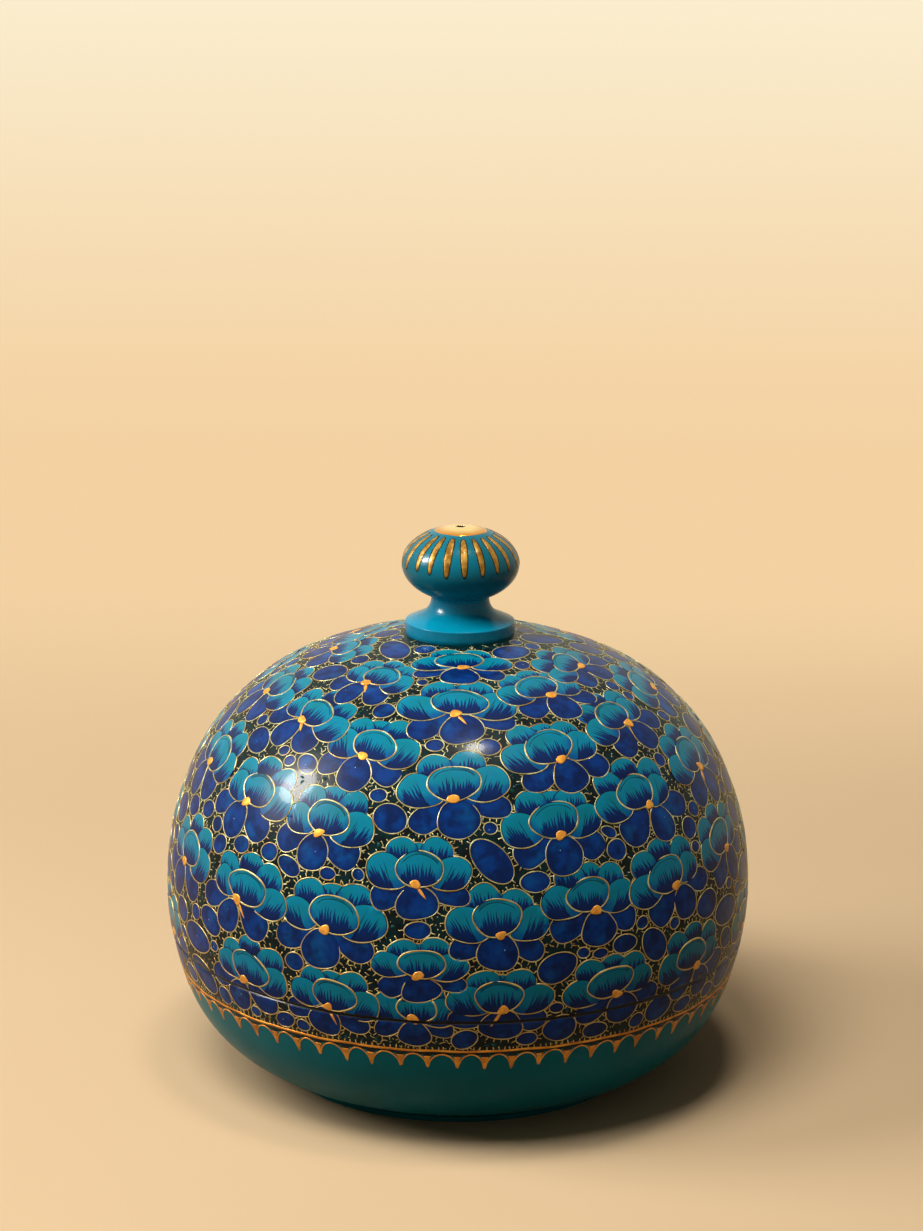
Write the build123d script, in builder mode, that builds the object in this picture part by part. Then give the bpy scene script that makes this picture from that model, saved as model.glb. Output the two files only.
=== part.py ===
from build123d import *
import os
from math import acos, asin, cos, degrees, inf, radians, sin, sqrt

# Round lidded box of painted papier mache with a turned wooden knob.
# Millimetres, +Z up, origin at the centre of the face that the foot ring stands on.

# Body: a flattened globe. Its outline is five arcs, each tangent to the next: the belly,
# a tighter shoulder above and below it, and a flatter crown and base centred on the axis.
body_d = 120.0
belly_radius = 58.0
crown_shoulder_radius = 43.3
crown_shoulder_start = 25.3  # degrees above the belly's widest line
crown_shoulder_end = 67.9
base_shoulder_radius = 27.2
base_shoulder_start = 21.1  # degrees below the belly's widest line
base_shoulder_end = 63.8
underside_drop = 37.84  # from the widest line down to the flat underside
seam_drop = 9.5  # from the widest line down to the seam between lid and bowl
papier_wall = 3.2
rim_round = 0.45

# Foot ring, glued under the bowl and flush with the edge of its flat underside
foot_height = 1.16
foot_ring_width = 4.6
foot_round = 0.4

# Collar, glued inside the bowl's mouth and standing up into the lid
collar_wall = 2.2
collar_glue_depth = 8.0
collar_rise = 5.0
collar_play = 0.3
collar_lead_in = 0.6

# Knob, turned in one piece with its flange and tenon
bulb_d = 24.0
bulb_height = 15.4
bulb_lift = 13.4  # from the top of the dome up to the middle of the bulb
neck_d = 12.0
neck_fillet = 3.5
flange_d = 22.4
flange_edge = 2.5
flange_round = 0.35
flange_cone_rise = 2.3
tenon_d = 8.0
tenon_glue_gap = 0.05
lathe_hole_d = 1.7
lathe_hole_depth = 3.0

# Papier mache patch over the tenon's end, inside the lid
patch_d = 18.0
patch_thickness = 1.0

widest_z = foot_height + underside_drop
seam_z = widest_z - seam_drop
floor_z = foot_height + papier_wall


def shoulder_and_end(shoulder_radius, start, end, side):
    """Centres and radii of a shoulder arc and of the end arc beyond it, for side +1 up or -1 down.

    Each centre lies on the line through the last centre and the point where the two arcs meet,
    so that they are tangent there, and the end arc's centre is on the axis.
    """
    step = belly_radius - shoulder_radius
    shoulder = (
        belly_centre[0] + step * cos(radians(start)),
        belly_centre[1] + side * step * sin(radians(start)),
    )
    reach = shoulder[0] / cos(radians(end))
    end_centre = (0.0, shoulder[1] - side * reach * sin(radians(end)))
    return (shoulder, shoulder_radius), (end_centre, shoulder_radius + reach)


belly_centre = (body_d / 2 - belly_radius, widest_z)
crown_shoulder, crown = shoulder_and_end(
    crown_shoulder_radius, crown_shoulder_start, crown_shoulder_end, 1
)
base_shoulder, base = shoulder_and_end(
    base_shoulder_radius, base_shoulder_start, base_shoulder_end, -1
)

# The outline from the base up to the crown: centre, radius, first and last angle of each arc
outline_arcs = [
    (*base, -90.0, -base_shoulder_end),
    (*base_shoulder, -base_shoulder_end, -base_shoulder_start),
    (belly_centre, belly_radius, -base_shoulder_start, crown_shoulder_start),
    (*crown_shoulder, crown_shoulder_start, crown_shoulder_end),
    (*crown, crown_shoulder_end, 90.0),
]


def outline(inset, low, high=inf):
    """Draws the outline, set in by inset, from one height up to another or up to the axis."""
    for centre, radius, start, end in outline_arcs:
        radius -= inset
        low_sine = (low - centre[1]) / radius
        high_sine = (high - centre[1]) / radius
        first = degrees(asin(min(low_sine, 1))) if low_sine > sin(radians(start)) else start
        last = degrees(asin(max(high_sine, -1))) if high_sine < sin(radians(end)) else end
        if last > first:
            CenterArc(centre, radius, first, last - first)


def outline_radius(inset, height):
    """The radius at one height of the outline set in by inset, from the arc that passes there."""
    for centre, radius, start, end in outline_arcs:
        sine = (height - centre[1]) / (radius - inset)
        if sin(radians(start)) <= sine <= sin(radians(end)):
            return centre[0] + (radius - inset) * sqrt(1 - sine**2)


def crown_height(inset, radius):
    """The height of the dome's top, set in by inset, at a distance from the axis."""
    return crown[0][1] + sqrt((crown[1] - inset) ** 2 - radius**2)


def crown_arc(inset, inner_radius, outer_radius):
    """Draws the dome's top, set in by inset, between two distances from the axis."""
    start = degrees(acos(outer_radius / (crown[1] - inset)))
    end = degrees(acos(inner_radius / (crown[1] - inset)))
    CenterArc(crown[0], crown[1] - inset, start, end - start)


top_z = crown_height(0, 0)
mouth_r = outline_radius(papier_wall, seam_z)
foot_r = outline_radius(0, foot_height)
flange_r = flange_d / 2
tenon_r = tenon_d / 2

# Bowl: the lower shell, with a flat underside and a flat floor
with BuildPart() as base_bowl:
    with BuildSketch(Plane.XZ):
        with BuildLine():
            outline(0, foot_height, seam_z)
            Line((outline_radius(0, seam_z), seam_z), (mouth_r, seam_z))
            outline(papier_wall, floor_z, seam_z)
            Polyline(
                (outline_radius(papier_wall, floor_z), floor_z),
                (0, floor_z),
                (0, foot_height),
                (foot_r, foot_height),
            )
        make_face()
    revolve(axis=Axis.Z)
    fillet(base_bowl.edges().group_by(Axis.Z)[-1].sort_by(SortBy.RADIUS)[-1], rim_round)

# Foot ring
with BuildPart() as foot_ring:
    with BuildSketch():
        Circle(foot_r)
        Circle(foot_r - foot_ring_width, mode=Mode.SUBTRACT)
    extrude(amount=foot_height)
    fillet(foot_ring.edges().group_by(Axis.Z)[0], foot_round)

# Collar: glued to the bowl's wall below the seam, and a cylinder with play in the lid above it
collar_low = seam_z - collar_glue_depth
collar_high = seam_z + collar_rise
collar_r = mouth_r - collar_play
with BuildPart() as locating_collar:
    with BuildSketch(Plane.XZ):
        with BuildLine():
            outline(papier_wall, collar_low, seam_z)
            Polyline(
                (mouth_r, seam_z),
                (collar_r, seam_z),
                (collar_r, collar_high),
                (collar_r - collar_wall, collar_high),
                (collar_r - collar_wall, seam_z),
                (outline_radius(papier_wall, collar_low) - collar_wall, collar_low),
                (outline_radius(papier_wall, collar_low), collar_low),
            )
        make_face()
    revolve(axis=Axis.Z)
    collar_top = locating_collar.edges().group_by(Axis.Z)[-1].sort_by(SortBy.RADIUS)
    chamfer(collar_top[-1], collar_lead_in)
    fillet(collar_top[0], collar_lead_in)

# Lid: the upper shell, with a hole in its crown for the knob's tenon
with BuildPart() as lid_shell:
    with BuildSketch(Plane.XZ):
        with BuildLine():
            outline(0, seam_z)
            Line((0, top_z), (0, crown_height(papier_wall, 0)))
            outline(papier_wall, seam_z)
            Line((mouth_r, seam_z), (outline_radius(0, seam_z), seam_z))
        make_face()
    revolve(axis=Axis.Z)
    rim_edges = lid_shell.edges().group_by(Axis.Z)[0]
    fillet(rim_edges.sort_by(SortBy.RADIUS)[-1], rim_round)
    with Locations((0, 0, top_z)):
        Hole(tenon_r + tenon_glue_gap)

# Knob: bulb, neck and flange above the dome, its foot hollowed to sit on the dome, and a
# tenon through the crown that ends flush with the inside
flange_top = crown_height(0, flange_r) + flange_edge
bulb_z = top_z + bulb_lift
with BuildPart() as knob:
    with BuildSketch(Plane.XZ) as knob_profile:
        with BuildLine():
            crown_arc(papier_wall, 0, tenon_r)
            Line((tenon_r, crown_height(papier_wall, tenon_r)), (tenon_r, crown_height(0, tenon_r)))
            crown_arc(0, tenon_r, flange_r)
            Polyline(
                (flange_r, crown_height(0, flange_r)),
                (flange_r, flange_top),
                (neck_d / 2, flange_top + flange_cone_rise),
                (neck_d / 2, bulb_z),
                (0, bulb_z),
                (0, crown_height(papier_wall, 0)),
            )
        make_face()
        corners = knob_profile.vertices()
        fillet(corners.sort_by_distance((neck_d / 2, flange_top + flange_cone_rise))[0], neck_fillet)
        fillet(corners.sort_by_distance((flange_r, flange_top))[0], flange_round)
        with Locations((0, bulb_z)):
            Ellipse(bulb_d / 2, bulb_height / 2)
        split(bisect_by=Plane.YZ)
    revolve(axis=Axis.Z)
    with Locations((0, 0, bulb_z + bulb_height / 2)):
        Hole(lathe_hole_d / 2, depth=lathe_hole_depth)

# Patch inside the lid, pasted over the end of the tenon
patch_inset = papier_wall + patch_thickness
with BuildPart() as tenon_patch:
    with BuildSketch(Plane.XZ):
        with BuildLine():
            crown_arc(papier_wall, 0, patch_d / 2)
            Line(
                (patch_d / 2, crown_height(papier_wall, patch_d / 2)),
                (patch_d / 2, crown_height(patch_inset, patch_d / 2)),
            )
            crown_arc(patch_inset, 0, patch_d / 2)
            Line((0, crown_height(patch_inset, 0)), (0, crown_height(papier_wall, 0)))
        make_face()
    revolve(axis=Axis.Z)

os.makedirs("parts", exist_ok=True)
pieces = {
    "base_bowl": base_bowl,
    "foot_ring": foot_ring,
    "locating_collar": locating_collar,
    "lid_shell": lid_shell,
    "knob": knob,
    "tenon_patch": tenon_patch,
}
for name, piece in pieces.items():
    piece.part.label = name
    export_step(piece.part, f"parts/{name}.step")
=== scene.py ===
from math import atan2, cos, pi, radians, sin, tau

import bmesh
import bpy
import numpy as np
from mathutils import Matrix, Vector


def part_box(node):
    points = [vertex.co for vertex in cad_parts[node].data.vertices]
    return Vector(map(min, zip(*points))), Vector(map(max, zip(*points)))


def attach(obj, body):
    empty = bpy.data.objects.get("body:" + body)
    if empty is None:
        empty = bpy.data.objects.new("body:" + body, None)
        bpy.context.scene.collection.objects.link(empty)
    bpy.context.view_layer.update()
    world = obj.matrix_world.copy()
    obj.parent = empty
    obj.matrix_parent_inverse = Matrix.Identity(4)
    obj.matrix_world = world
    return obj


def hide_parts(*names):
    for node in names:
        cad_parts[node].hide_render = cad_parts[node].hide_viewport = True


# Round lidded box of painted papier mache: smooth shells and a smooth knob in place of the packed
# ones, then the painter's work laid on them as low forms: flowers, buds, gold lines and ticks, the
# bowl's border, and the knob's strokes and cap. Lengths are in millimetres until a mesh is made;
# lamps, camera and materials are in metres. Angles are in radians, except azimuths, tilts and the
# directions that forms point in, which are in degrees. A place on the body is its distance from the
# pole along the outline and its azimuth, 0 at the front.

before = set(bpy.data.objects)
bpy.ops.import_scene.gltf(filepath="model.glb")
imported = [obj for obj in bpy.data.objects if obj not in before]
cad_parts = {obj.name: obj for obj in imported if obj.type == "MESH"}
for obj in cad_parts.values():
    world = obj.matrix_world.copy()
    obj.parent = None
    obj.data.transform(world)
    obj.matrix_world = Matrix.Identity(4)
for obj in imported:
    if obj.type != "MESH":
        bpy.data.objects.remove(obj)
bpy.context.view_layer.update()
MM = 0.001  # a millimetre, in metres
draw = np.random.default_rng(7)

# ---------------------------------------------------------------------------------------------
# The body's outline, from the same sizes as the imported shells
# ---------------------------------------------------------------------------------------------
SEAM_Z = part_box("base_bowl")[1].z / MM
FOOT_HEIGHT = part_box("base_bowl")[0].z / MM
BODY_RADIUS = 60.0
BELLY_RADIUS = 58.0
SEAM_DROP = 9.5
WIDEST_Z = SEAM_Z + SEAM_DROP
CROWN_SHOULDER = (43.3, 25.3, 67.9)  # arc radius, first and last angle from the widest line in degrees
BASE_SHOULDER = (27.2, 21.1, 63.8)
WALL = 3.2
RIM_ROUND = 0.45
PAINT_DEPTH = 0.25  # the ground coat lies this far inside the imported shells, to leave room for the paint


def shoulder_and_end(shoulder_radius, start, end, side):
    """Shoulder and end arcs (centre radius, centre height, arc radius), each tangent to the arc before
    it; the end arc's centre is on the axis. side is +1 above the widest line and -1 below it."""
    step = BELLY_RADIUS - shoulder_radius
    across = BODY_RADIUS - BELLY_RADIUS + step * cos(radians(start))
    height = WIDEST_Z + side * step * sin(radians(start))
    reach = across / cos(radians(end))
    end_height = height - side * reach * sin(radians(end))
    return (across, height, shoulder_radius), (0.0, end_height, shoulder_radius + reach)


crown_shoulder, crown = shoulder_and_end(*CROWN_SHOULDER, 1)
base_shoulder, base_end = shoulder_and_end(*BASE_SHOULDER, -1)
belly = (BODY_RADIUS - BELLY_RADIUS, WIDEST_Z, BELLY_RADIUS)
# From the crown down: centre radius, centre height, arc radius, first and last angle
OUTLINE = [
    (*crown, pi / 2, radians(CROWN_SHOULDER[2])),
    (*crown_shoulder, radians(CROWN_SHOULDER[2]), radians(CROWN_SHOULDER[1])),
    (*belly, radians(CROWN_SHOULDER[1]), -radians(BASE_SHOULDER[1])),
    (*base_shoulder, -radians(BASE_SHOULDER[1]), -radians(BASE_SHOULDER[2])),
    (*base_end, -radians(BASE_SHOULDER[2]), -pi / 2),
]
ARC_LENGTHS = np.array([radius * (top - bottom) for _, _, radius, top, bottom in OUTLINE])
ARC_STARTS = np.concatenate([[0.0], np.cumsum(ARC_LENGTHS)[:-1]])


def outline_at(distance):
    """Radius, height and normal angle of the outline at distances from the pole along it: each lies on
    one arc, turned from the arc's first angle by the distance into it over the arc's radius."""
    distance = np.asarray(distance, float)
    which = np.clip(np.searchsorted(ARC_STARTS, distance, side="right") - 1, 0, len(OUTLINE) - 1)
    arcs = np.array(OUTLINE)[which]
    angle = arcs[..., 3] - (distance - ARC_STARTS[which]) / arcs[..., 2]
    across = arcs[..., 0] + arcs[..., 2] * np.cos(angle)
    return across, arcs[..., 1] + arcs[..., 2] * np.sin(angle), angle


def distance_at_height(height, inset=0.0):
    """Distance from the pole at which the outline, set in by inset, comes down to one height: the angle of
    that place on its arc has the height above the arc's centre over the arc's radius as its sine."""
    for (_, centre_z, radius, top, bottom), start in zip(OUTLINE, ARC_STARTS):
        sine = (height - centre_z) / (radius - inset)
        if sin(bottom) <= sine <= sin(top):
            return start + radius * (top - np.arcsin(sine))


def press(points, lift):
    """Presses points onto the body: each moves along the body's normal to lift above the ground coat.
    Its arc is the one whose sector, seen from the arc's centre, holds the point."""
    lift = np.asarray(lift, float) - PAINT_DEPTH
    across = np.hypot(points[..., 0], points[..., 1])
    new_across, new_height = np.zeros_like(across), np.zeros_like(across)
    for centre_r, centre_z, radius, top, bottom in OUTLINE:
        angle = np.arctan2(points[..., 2] - centre_z, across - centre_r)
        here = (angle <= top) & (angle >= bottom)
        new_across = np.where(here, centre_r + (radius + lift) * np.cos(angle), new_across)
        new_height = np.where(here, centre_z + (radius + lift) * np.sin(angle), new_height)
    scale = new_across / np.maximum(across, 1e-9)
    return np.stack([points[..., 0] * scale, points[..., 1] * scale, new_height], -1)


def locate(points):
    """Distance from the pole and azimuth of points on or near the body: the angle seen from the centre of
    the arc whose sector holds the point gives the distance into that arc."""
    across = np.hypot(points[..., 0], points[..., 1])
    distance = np.zeros_like(across)
    for (centre_r, centre_z, radius, top, bottom), start in zip(OUTLINE, ARC_STARTS):
        angle = np.arctan2(points[..., 2] - centre_z, across - centre_r)
        here = (angle <= top) & (angle >= bottom)
        distance = np.where(here, start + radius * (top - angle), distance)
    return distance, np.degrees(np.arctan2(points[..., 0], -points[..., 1]))


SEAM_AT = distance_at_height(SEAM_Z)

# ---------------------------------------------------------------------------------------------
# Meshes
# ---------------------------------------------------------------------------------------------


def new_piece(name, points, faces, material, body, crease=None, uv=None, values=None):
    """Makes a mesh object from points in millimetres and a list of face index arrays, each (count,
    corners). Edges between two creased points stay sharp. uv and values are given per point."""
    mesh = bpy.data.meshes.new(name)
    mesh.vertices.add(len(points))
    mesh.vertices.foreach_set("co", (np.asarray(points) * MM).astype(np.float32).ravel())
    corners = np.concatenate([f.ravel() for f in faces]).astype(np.int32)
    sizes = np.concatenate([np.full(len(f), f.shape[1]) for f in faces])
    mesh.loops.add(len(corners))
    mesh.loops.foreach_set("vertex_index", corners)
    mesh.polygons.add(len(sizes))
    mesh.polygons.foreach_set("loop_start", (np.cumsum(sizes) - sizes).astype(np.int32))
    mesh.update(calc_edges=True)
    if uv is not None:
        layer = mesh.uv_layers.new(name="Brush")
        layer.uv.foreach_set("vector", uv[corners].astype(np.float32).ravel())
    for key, value in (values or {}).items():
        mesh.attributes.new(key, "FLOAT", "POINT").data.foreach_set("value", value.astype(np.float32))
    mesh.polygons.foreach_set("use_smooth", np.ones(len(sizes), bool))
    if crease is not None:
        ends = np.zeros(len(mesh.edges) * 2, np.int32)
        mesh.edges.foreach_get("vertices", ends)
        mesh.edges.foreach_set("use_edge_sharp", crease[ends].reshape(-1, 2).all(1))
    mesh.materials.append(material)
    piece = bpy.data.objects.new(name, mesh)
    bpy.context.scene.collection.objects.link(piece)
    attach(piece, body)
    return piece


def lathe(profile, segments):
    """A closed profile of (radius, height) rows turned about Z. Rows that start and end on the axis make
    one pole each; otherwise the profile is a ring and its last row joins its first. The faces come strip by
    strip in the profile's order."""
    profile = np.asarray(profile, float)
    poles = profile[0, 0] < 1e-9
    body = profile[1:-1] if poles else profile
    turn = np.arange(segments) * tau / segments
    ring = np.stack([np.cos(turn), np.sin(turn)], -1)
    points = np.concatenate(
        [body[:, None, :1] * ring, np.broadcast_to(body[:, None, 1:], (len(body), segments, 1))], -1
    ).reshape(-1, 3)
    grid = np.arange(len(body) * segments).reshape(len(body), segments)
    upper, lower = (grid[:-1], grid[1:]) if poles else (grid, np.roll(grid, -1, 0))
    quads = np.stack([upper, lower, np.roll(lower, -1, 1), np.roll(upper, -1, 1)], -1).reshape(-1, 4)
    if not poles:
        return points, [quads]
    count = len(points)
    points = np.concatenate([points, [[0, 0, profile[0, 1]], [0, 0, profile[-1, 1]]]])
    first = np.stack([np.full(segments, count), grid[0], np.roll(grid[0], -1)], -1)
    last = np.stack([np.full(segments, count + 1), np.roll(grid[-1], -1), grid[-1]], -1)
    return points, [first, quads, last]


def arc_points(centre, radius, start, end, step):
    """Points along an arc from one angle in degrees to another, no further apart than step."""
    angle = np.radians(np.linspace(start, end, int(abs(radians(end - start)) * radius / step) + 2))
    return np.stack([centre[0] + radius * np.cos(angle), centre[1] + radius * np.sin(angle)], -1)


# ---------------------------------------------------------------------------------------------
# Camera, light and stage
# ---------------------------------------------------------------------------------------------
PICTURE_HEIGHT = 1231  # pixels, and so is the focal length
FOCAL_PIXELS = 2989
AIM = Vector((0, 0, 39.7)) * MM
CAMERA_DISTANCE = 620.7 * MM
CAMERA_ELEVATION = radians(19.03)
CAMERA_PITCH = radians(14.16)
CAMERA_YAW = radians(0.028)
CAMERA_ROLL = radians(0.53)
FROM_SIDE = (-0.808, -0.078, 0.585)  # from the box towards the lamps
FROM_FRONT = (-0.25, -0.33, 0.91)
FROM_ABOVE = (0.08, -0.11, 0.975)
FLOOR_WIDTH = 2600.0  # to each side of the box
FLOOR_FRONT = 2200.0
BACKDROP_AT = 900.0
BACKDROP_HEIGHT = 1400.0
BACKDROP_BEND = 260.0
FLOOR_PALE = (0.66, 0.48, 0.29, 1)
FLOOR_PALER = (0.70, 0.52, 0.32, 1)
FLOOR_UNSEEN = (0.17, 0.14, 0.11, 1)  # what the floor throws back on the box
CREAM = (0.90, 0.64, 0.36, 1)
CREAM_HIGH = (0.98, 0.90, 0.68, 1)
ROOM_LIGHT = (1.0, 0.95, 0.88, 1)


def make_camera():
    """A long lens that stands in front of the box, a little above it, and looks over its middle."""
    back = Vector((0, -cos(CAMERA_ELEVATION), sin(CAMERA_ELEVATION)))
    forward = Vector(
        (sin(CAMERA_YAW) * cos(CAMERA_PITCH), cos(CAMERA_YAW) * cos(CAMERA_PITCH), -sin(CAMERA_PITCH))
    )
    level = Vector((cos(CAMERA_YAW), -sin(CAMERA_YAW), 0))
    upright = level.cross(forward)
    right = level * cos(CAMERA_ROLL) + upright * sin(CAMERA_ROLL)
    up = upright * cos(CAMERA_ROLL) - level * sin(CAMERA_ROLL)
    data = bpy.data.cameras.new("camera")
    data.lens = data.sensor_width * FOCAL_PIXELS / PICTURE_HEIGHT
    camera = bpy.data.objects.new("camera", data)
    camera.matrix_world = Matrix.Translation(AIM + back * CAMERA_DISTANCE) @ Matrix(
        (right, up, -forward)
    ).transposed().to_4x4()
    bpy.context.scene.collection.objects.link(camera)
    bpy.context.scene.camera = camera


def soft_lamp(name, direction, distance, size, power, colour, paint=True, gloss=True):
    """An oval soft lamp, size wide and high in metres, that faces the box from a direction and a distance
    in metres. It can be kept from lighting the paint, or from showing in the gloss."""
    data = bpy.data.lights.new(name, "AREA")
    data.shape = "ELLIPSE"
    data.size, data.size_y = size
    data.energy, data.color = power, colour
    light = bpy.data.objects.new(name, data)
    light.visible_diffuse = paint
    light.visible_glossy = gloss
    away = Vector(direction).normalized()
    facing = away.to_track_quat("Z", "Y").to_matrix().to_4x4()
    light.matrix_world = Matrix.Translation(AIM + away * distance) @ facing
    bpy.context.scene.collection.objects.link(light)


def nodes_of(holder):
    """The node tree of a material or world, emptied."""
    holder.use_nodes = True
    holder.node_tree.nodes.clear()
    return holder.node_tree


def node(tree, kind, links=(), **settings):
    """Adds a node, sets its properties, and sets its sockets or links outputs into them."""
    made = tree.nodes.new("ShaderNode" + kind)
    for key, value in settings.items():
        setattr(made, key, value)
    for key, source in dict(links).items():
        socket = made.inputs[key]
        if isinstance(source, bpy.types.NodeSocket):
            tree.links.new(source, socket)
        else:
            socket.default_value = source
    return made


def maths(tree, operation, first, second=0.5, third=0.5):
    """The result of one Math node."""
    return node(tree, "Math", {0: first, 1: second, 2: third}, operation=operation).outputs[0]


def smooth_step(tree, value, low, high):
    """A smooth step from 0 at low to 1 at high."""
    return node(tree, "MapRange", {0: value, 1: low, 2: high}, interpolation_type="SMOOTHSTEP").outputs[0]


def blend(tree, share, first, second):
    """A mix of two colours, with this share of the second."""
    return node(tree, "Mix", {0: share, 6: first, 7: second}, data_type="RGBA").outputs[2]


def seen_directly(tree):
    """1 for rays from the camera, by reflection or through glass, and 0 for the light the stage sheds."""
    rays = node(tree, "LightPath").outputs
    seen = maths(tree, "MAXIMUM", rays["Is Camera Ray"], rays["Is Glossy Ray"])
    return maths(tree, "MAXIMUM", seen, rays["Is Transmission Ray"])


def floor_material():
    """Matt and pale with a faint grain. Behind the box, and far from it all round, its paleness is its own
    and needs no lamp, and it grows paler up the backdrop."""
    material = bpy.data.materials.new("pale_floor")
    tree = nodes_of(material)
    where = node(tree, "TexCoord").outputs["Object"]
    position = node(tree, "SeparateXYZ", {0: where}).outputs
    seen = seen_directly(tree)
    grain = node(tree, "TexNoise", {"Vector": where, "Scale": 9.0, "Detail": 4.0}).outputs[0]
    colour = blend(tree, seen, FLOOR_UNSEEN, blend(tree, grain, FLOOR_PALE, FLOOR_PALER))
    matt = {"Base Color": colour, "Roughness": 0.8, "Specular IOR Level": 0.0}
    plain = node(tree, "BsdfPrincipled", matt).outputs[0]
    rise = node(tree, "MapRange", {0: position[2], 1: 0.0, 2: 0.22}).outputs[0]
    cream = blend(tree, rise, CREAM, CREAM_HIGH)
    glow = node(tree, "Emission", {"Color": cream, "Strength": 1.0}).outputs[0]
    behind = smooth_step(tree, position[1], 0.05, 0.42)
    away = node(tree, "VectorMath", {0: where}, operation="LENGTH").outputs["Value"]
    far = smooth_step(tree, away, 0.4, 1.1)
    share = maths(tree, "MULTIPLY", maths(tree, "MAXIMUM", behind, far), seen)
    shader = node(tree, "MixShader", {0: share, 1: plain, 2: glow})
    node(tree, "OutputMaterial", {0: shader.outputs[0]})
    return material


def make_floor():
    """A floor that curves up into a backdrop: a section of one straight, an arc and another straight,
    carried from side to side."""
    curve = arc_points((BACKDROP_AT - BACKDROP_BEND, BACKDROP_BEND), BACKDROP_BEND, -90, 0, 20)
    section = np.concatenate([[[-FLOOR_FRONT, 0]], curve, [[BACKDROP_AT, BACKDROP_HEIGHT]]])
    sides = np.array([-FLOOR_WIDTH, FLOOR_WIDTH])
    points = np.stack(np.broadcast_arrays(sides[None, :], section[:, :1], section[:, 1:]), -1)
    grid = np.arange(len(section) * 2).reshape(-1, 2)
    quads = np.stack([grid[:-1, 0], grid[:-1, 1], grid[1:, 1], grid[1:, 0]], -1)
    mesh = bpy.data.meshes.new("floor")
    mesh.from_pydata((points.reshape(-1, 3) * MM).tolist(), [], quads.tolist())
    mesh.polygons.foreach_set("use_smooth", np.ones(len(quads), bool))
    mesh.materials.append(floor_material())
    floor = bpy.data.objects.new("floor", mesh)
    bpy.context.scene.collection.objects.link(floor)


def make_world():
    """A dim room for the box, and the far floor's colour where the world itself is seen."""
    world = bpy.data.worlds.new("studio")
    tree = nodes_of(world)
    dim = node(tree, "Background", {"Color": ROOM_LIGHT, "Strength": 0.09}).outputs[0]
    pale = node(tree, "Background", {"Color": CREAM, "Strength": 1.0}).outputs[0]
    shader = node(tree, "MixShader", {0: seen_directly(tree), 1: dim, 2: pale})
    node(tree, "OutputWorld", {0: shader.outputs[0]})
    bpy.context.scene.world = world
    bpy.context.scene.view_settings.view_transform = "Standard"


make_camera()
make_floor()
make_world()
soft_lamp("side_softbox", FROM_SIDE, 0.80, (0.40, 0.52), 4.2, (1.0, 0.97, 0.93))
soft_lamp("side_sheen", FROM_SIDE, 0.79, (0.18, 0.22), 12.5, (1.0, 0.98, 0.95), paint=False)
soft_lamp("front_lamp", FROM_FRONT, 1.00, (0.50, 0.50), 6.6, (1.0, 0.97, 0.92), gloss=False)
soft_lamp("overhead_lamp", FROM_ABOVE, 1.10, (0.20, 0.20), 2.4, (1.0, 0.94, 0.85))
soft_lamp("overhead_glint", FROM_ABOVE, 1.09, (0.11, 0.11), 5.0, (1.0, 0.96, 0.90), paint=False)

# ---------------------------------------------------------------------------------------------
# Paints
# ---------------------------------------------------------------------------------------------
TEAL = (0.001, 0.215, 0.345, 1)
TEAL_GREEN = (0.001, 0.195, 0.265, 1)
TEAL_PALE = (0.001, 0.290, 0.400, 1)
BRUSH_BLUE = (0.001, 0.022, 0.130, 1)
WASH_BLUE = (0.001, 0.062, 0.265, 1)
BRUSH_NAVY = (0.001, 0.011, 0.065, 1)
LINE_NAVY = (0.001, 0.007, 0.035, 1)
COBALT = (0.001, 0.038, 0.215, 1)
COBALT_LIGHT = (0.001, 0.105, 0.350, 1)
COBALT_DEEP = (0.001, 0.015, 0.090, 1)
GOLD = (0.650, 0.630, 0.320, 1)
GOLD_DARK = (0.320, 0.275, 0.110, 1)
GOLD_AMBER_PAINTED_SHADE = (0.540, 0.360, 0.090, 1)
GOLD_RUST = (0.340, 0.190, 0.045, 1)
STROKE_GOLD = (0.470, 0.270, 0.052, 1)
GOLD_BROWN = (0.200, 0.092, 0.012, 1)
ORANGE_GOLD = (0.940, 0.440, 0.065, 1)
ORANGE_DARK = (0.720, 0.290, 0.040, 1)
BORDER_GOLD = (0.780, 0.340, 0.045, 1)
BORDER_BROWN = (0.520, 0.180, 0.020, 1)
# The cap's pale middle is a painted highlight
CAP_GOLD_PAINTED_HIGHLIGHT = (0.930, 0.690, 0.290, 1)
CAP_AMBER = (0.700, 0.300, 0.034, 1)
OLIVE = (0.026, 0.030, 0.005, 1)
GROUND = (0.0015, 0.005, 0.007, 1)
GROUND_GREEN = (0.001, 0.019, 0.023, 1)
LEAF = (0.003, 0.090, 0.085, 1)
# The bowl's plain teal is the knob's turquoise painted darker and greener: painted shade of the bowl's lower
# side
BASE_TEAL_PAINTED_SHADE = (0.001, 0.180, 0.210, 1)
BASE_TEAL_DEEP_PAINTED_SHADE = (0.001, 0.150, 0.175, 1)
KNOB_TEAL = (0.001, 0.250, 0.425, 1)
KNOB_TEAL_DEEP = (0.001, 0.210, 0.345, 1)
# The knob's teal painted lighter for its neck and flange top: painted light where the bulb shades them
CONE_PAINTED_LIGHT_TEAL = (0.001, 0.295, 0.480, 1)
CONE_PAINTED_LIGHT_TEAL_DEEP = (0.001, 0.265, 0.420, 1)
# The knob's teal painted darker for its bulb: painted shade
BULB_PAINTED_SHADE_TEAL = (0.001, 0.178, 0.262, 1)
BULB_PAINTED_SHADE_TEAL_DEEP = (0.001, 0.148, 0.212, 1)
LACQUER_BLACK = (0.006, 0.005, 0.005, 1)
LACQUER_WORN = (0.014, 0.012, 0.011, 1)
# Grey mixed into the black of the bowl's rim edge: a painted highlight along the rim
RIM_GREY_PAINTED_HIGHLIGHT = (0.050, 0.070, 0.080, 1)
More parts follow.
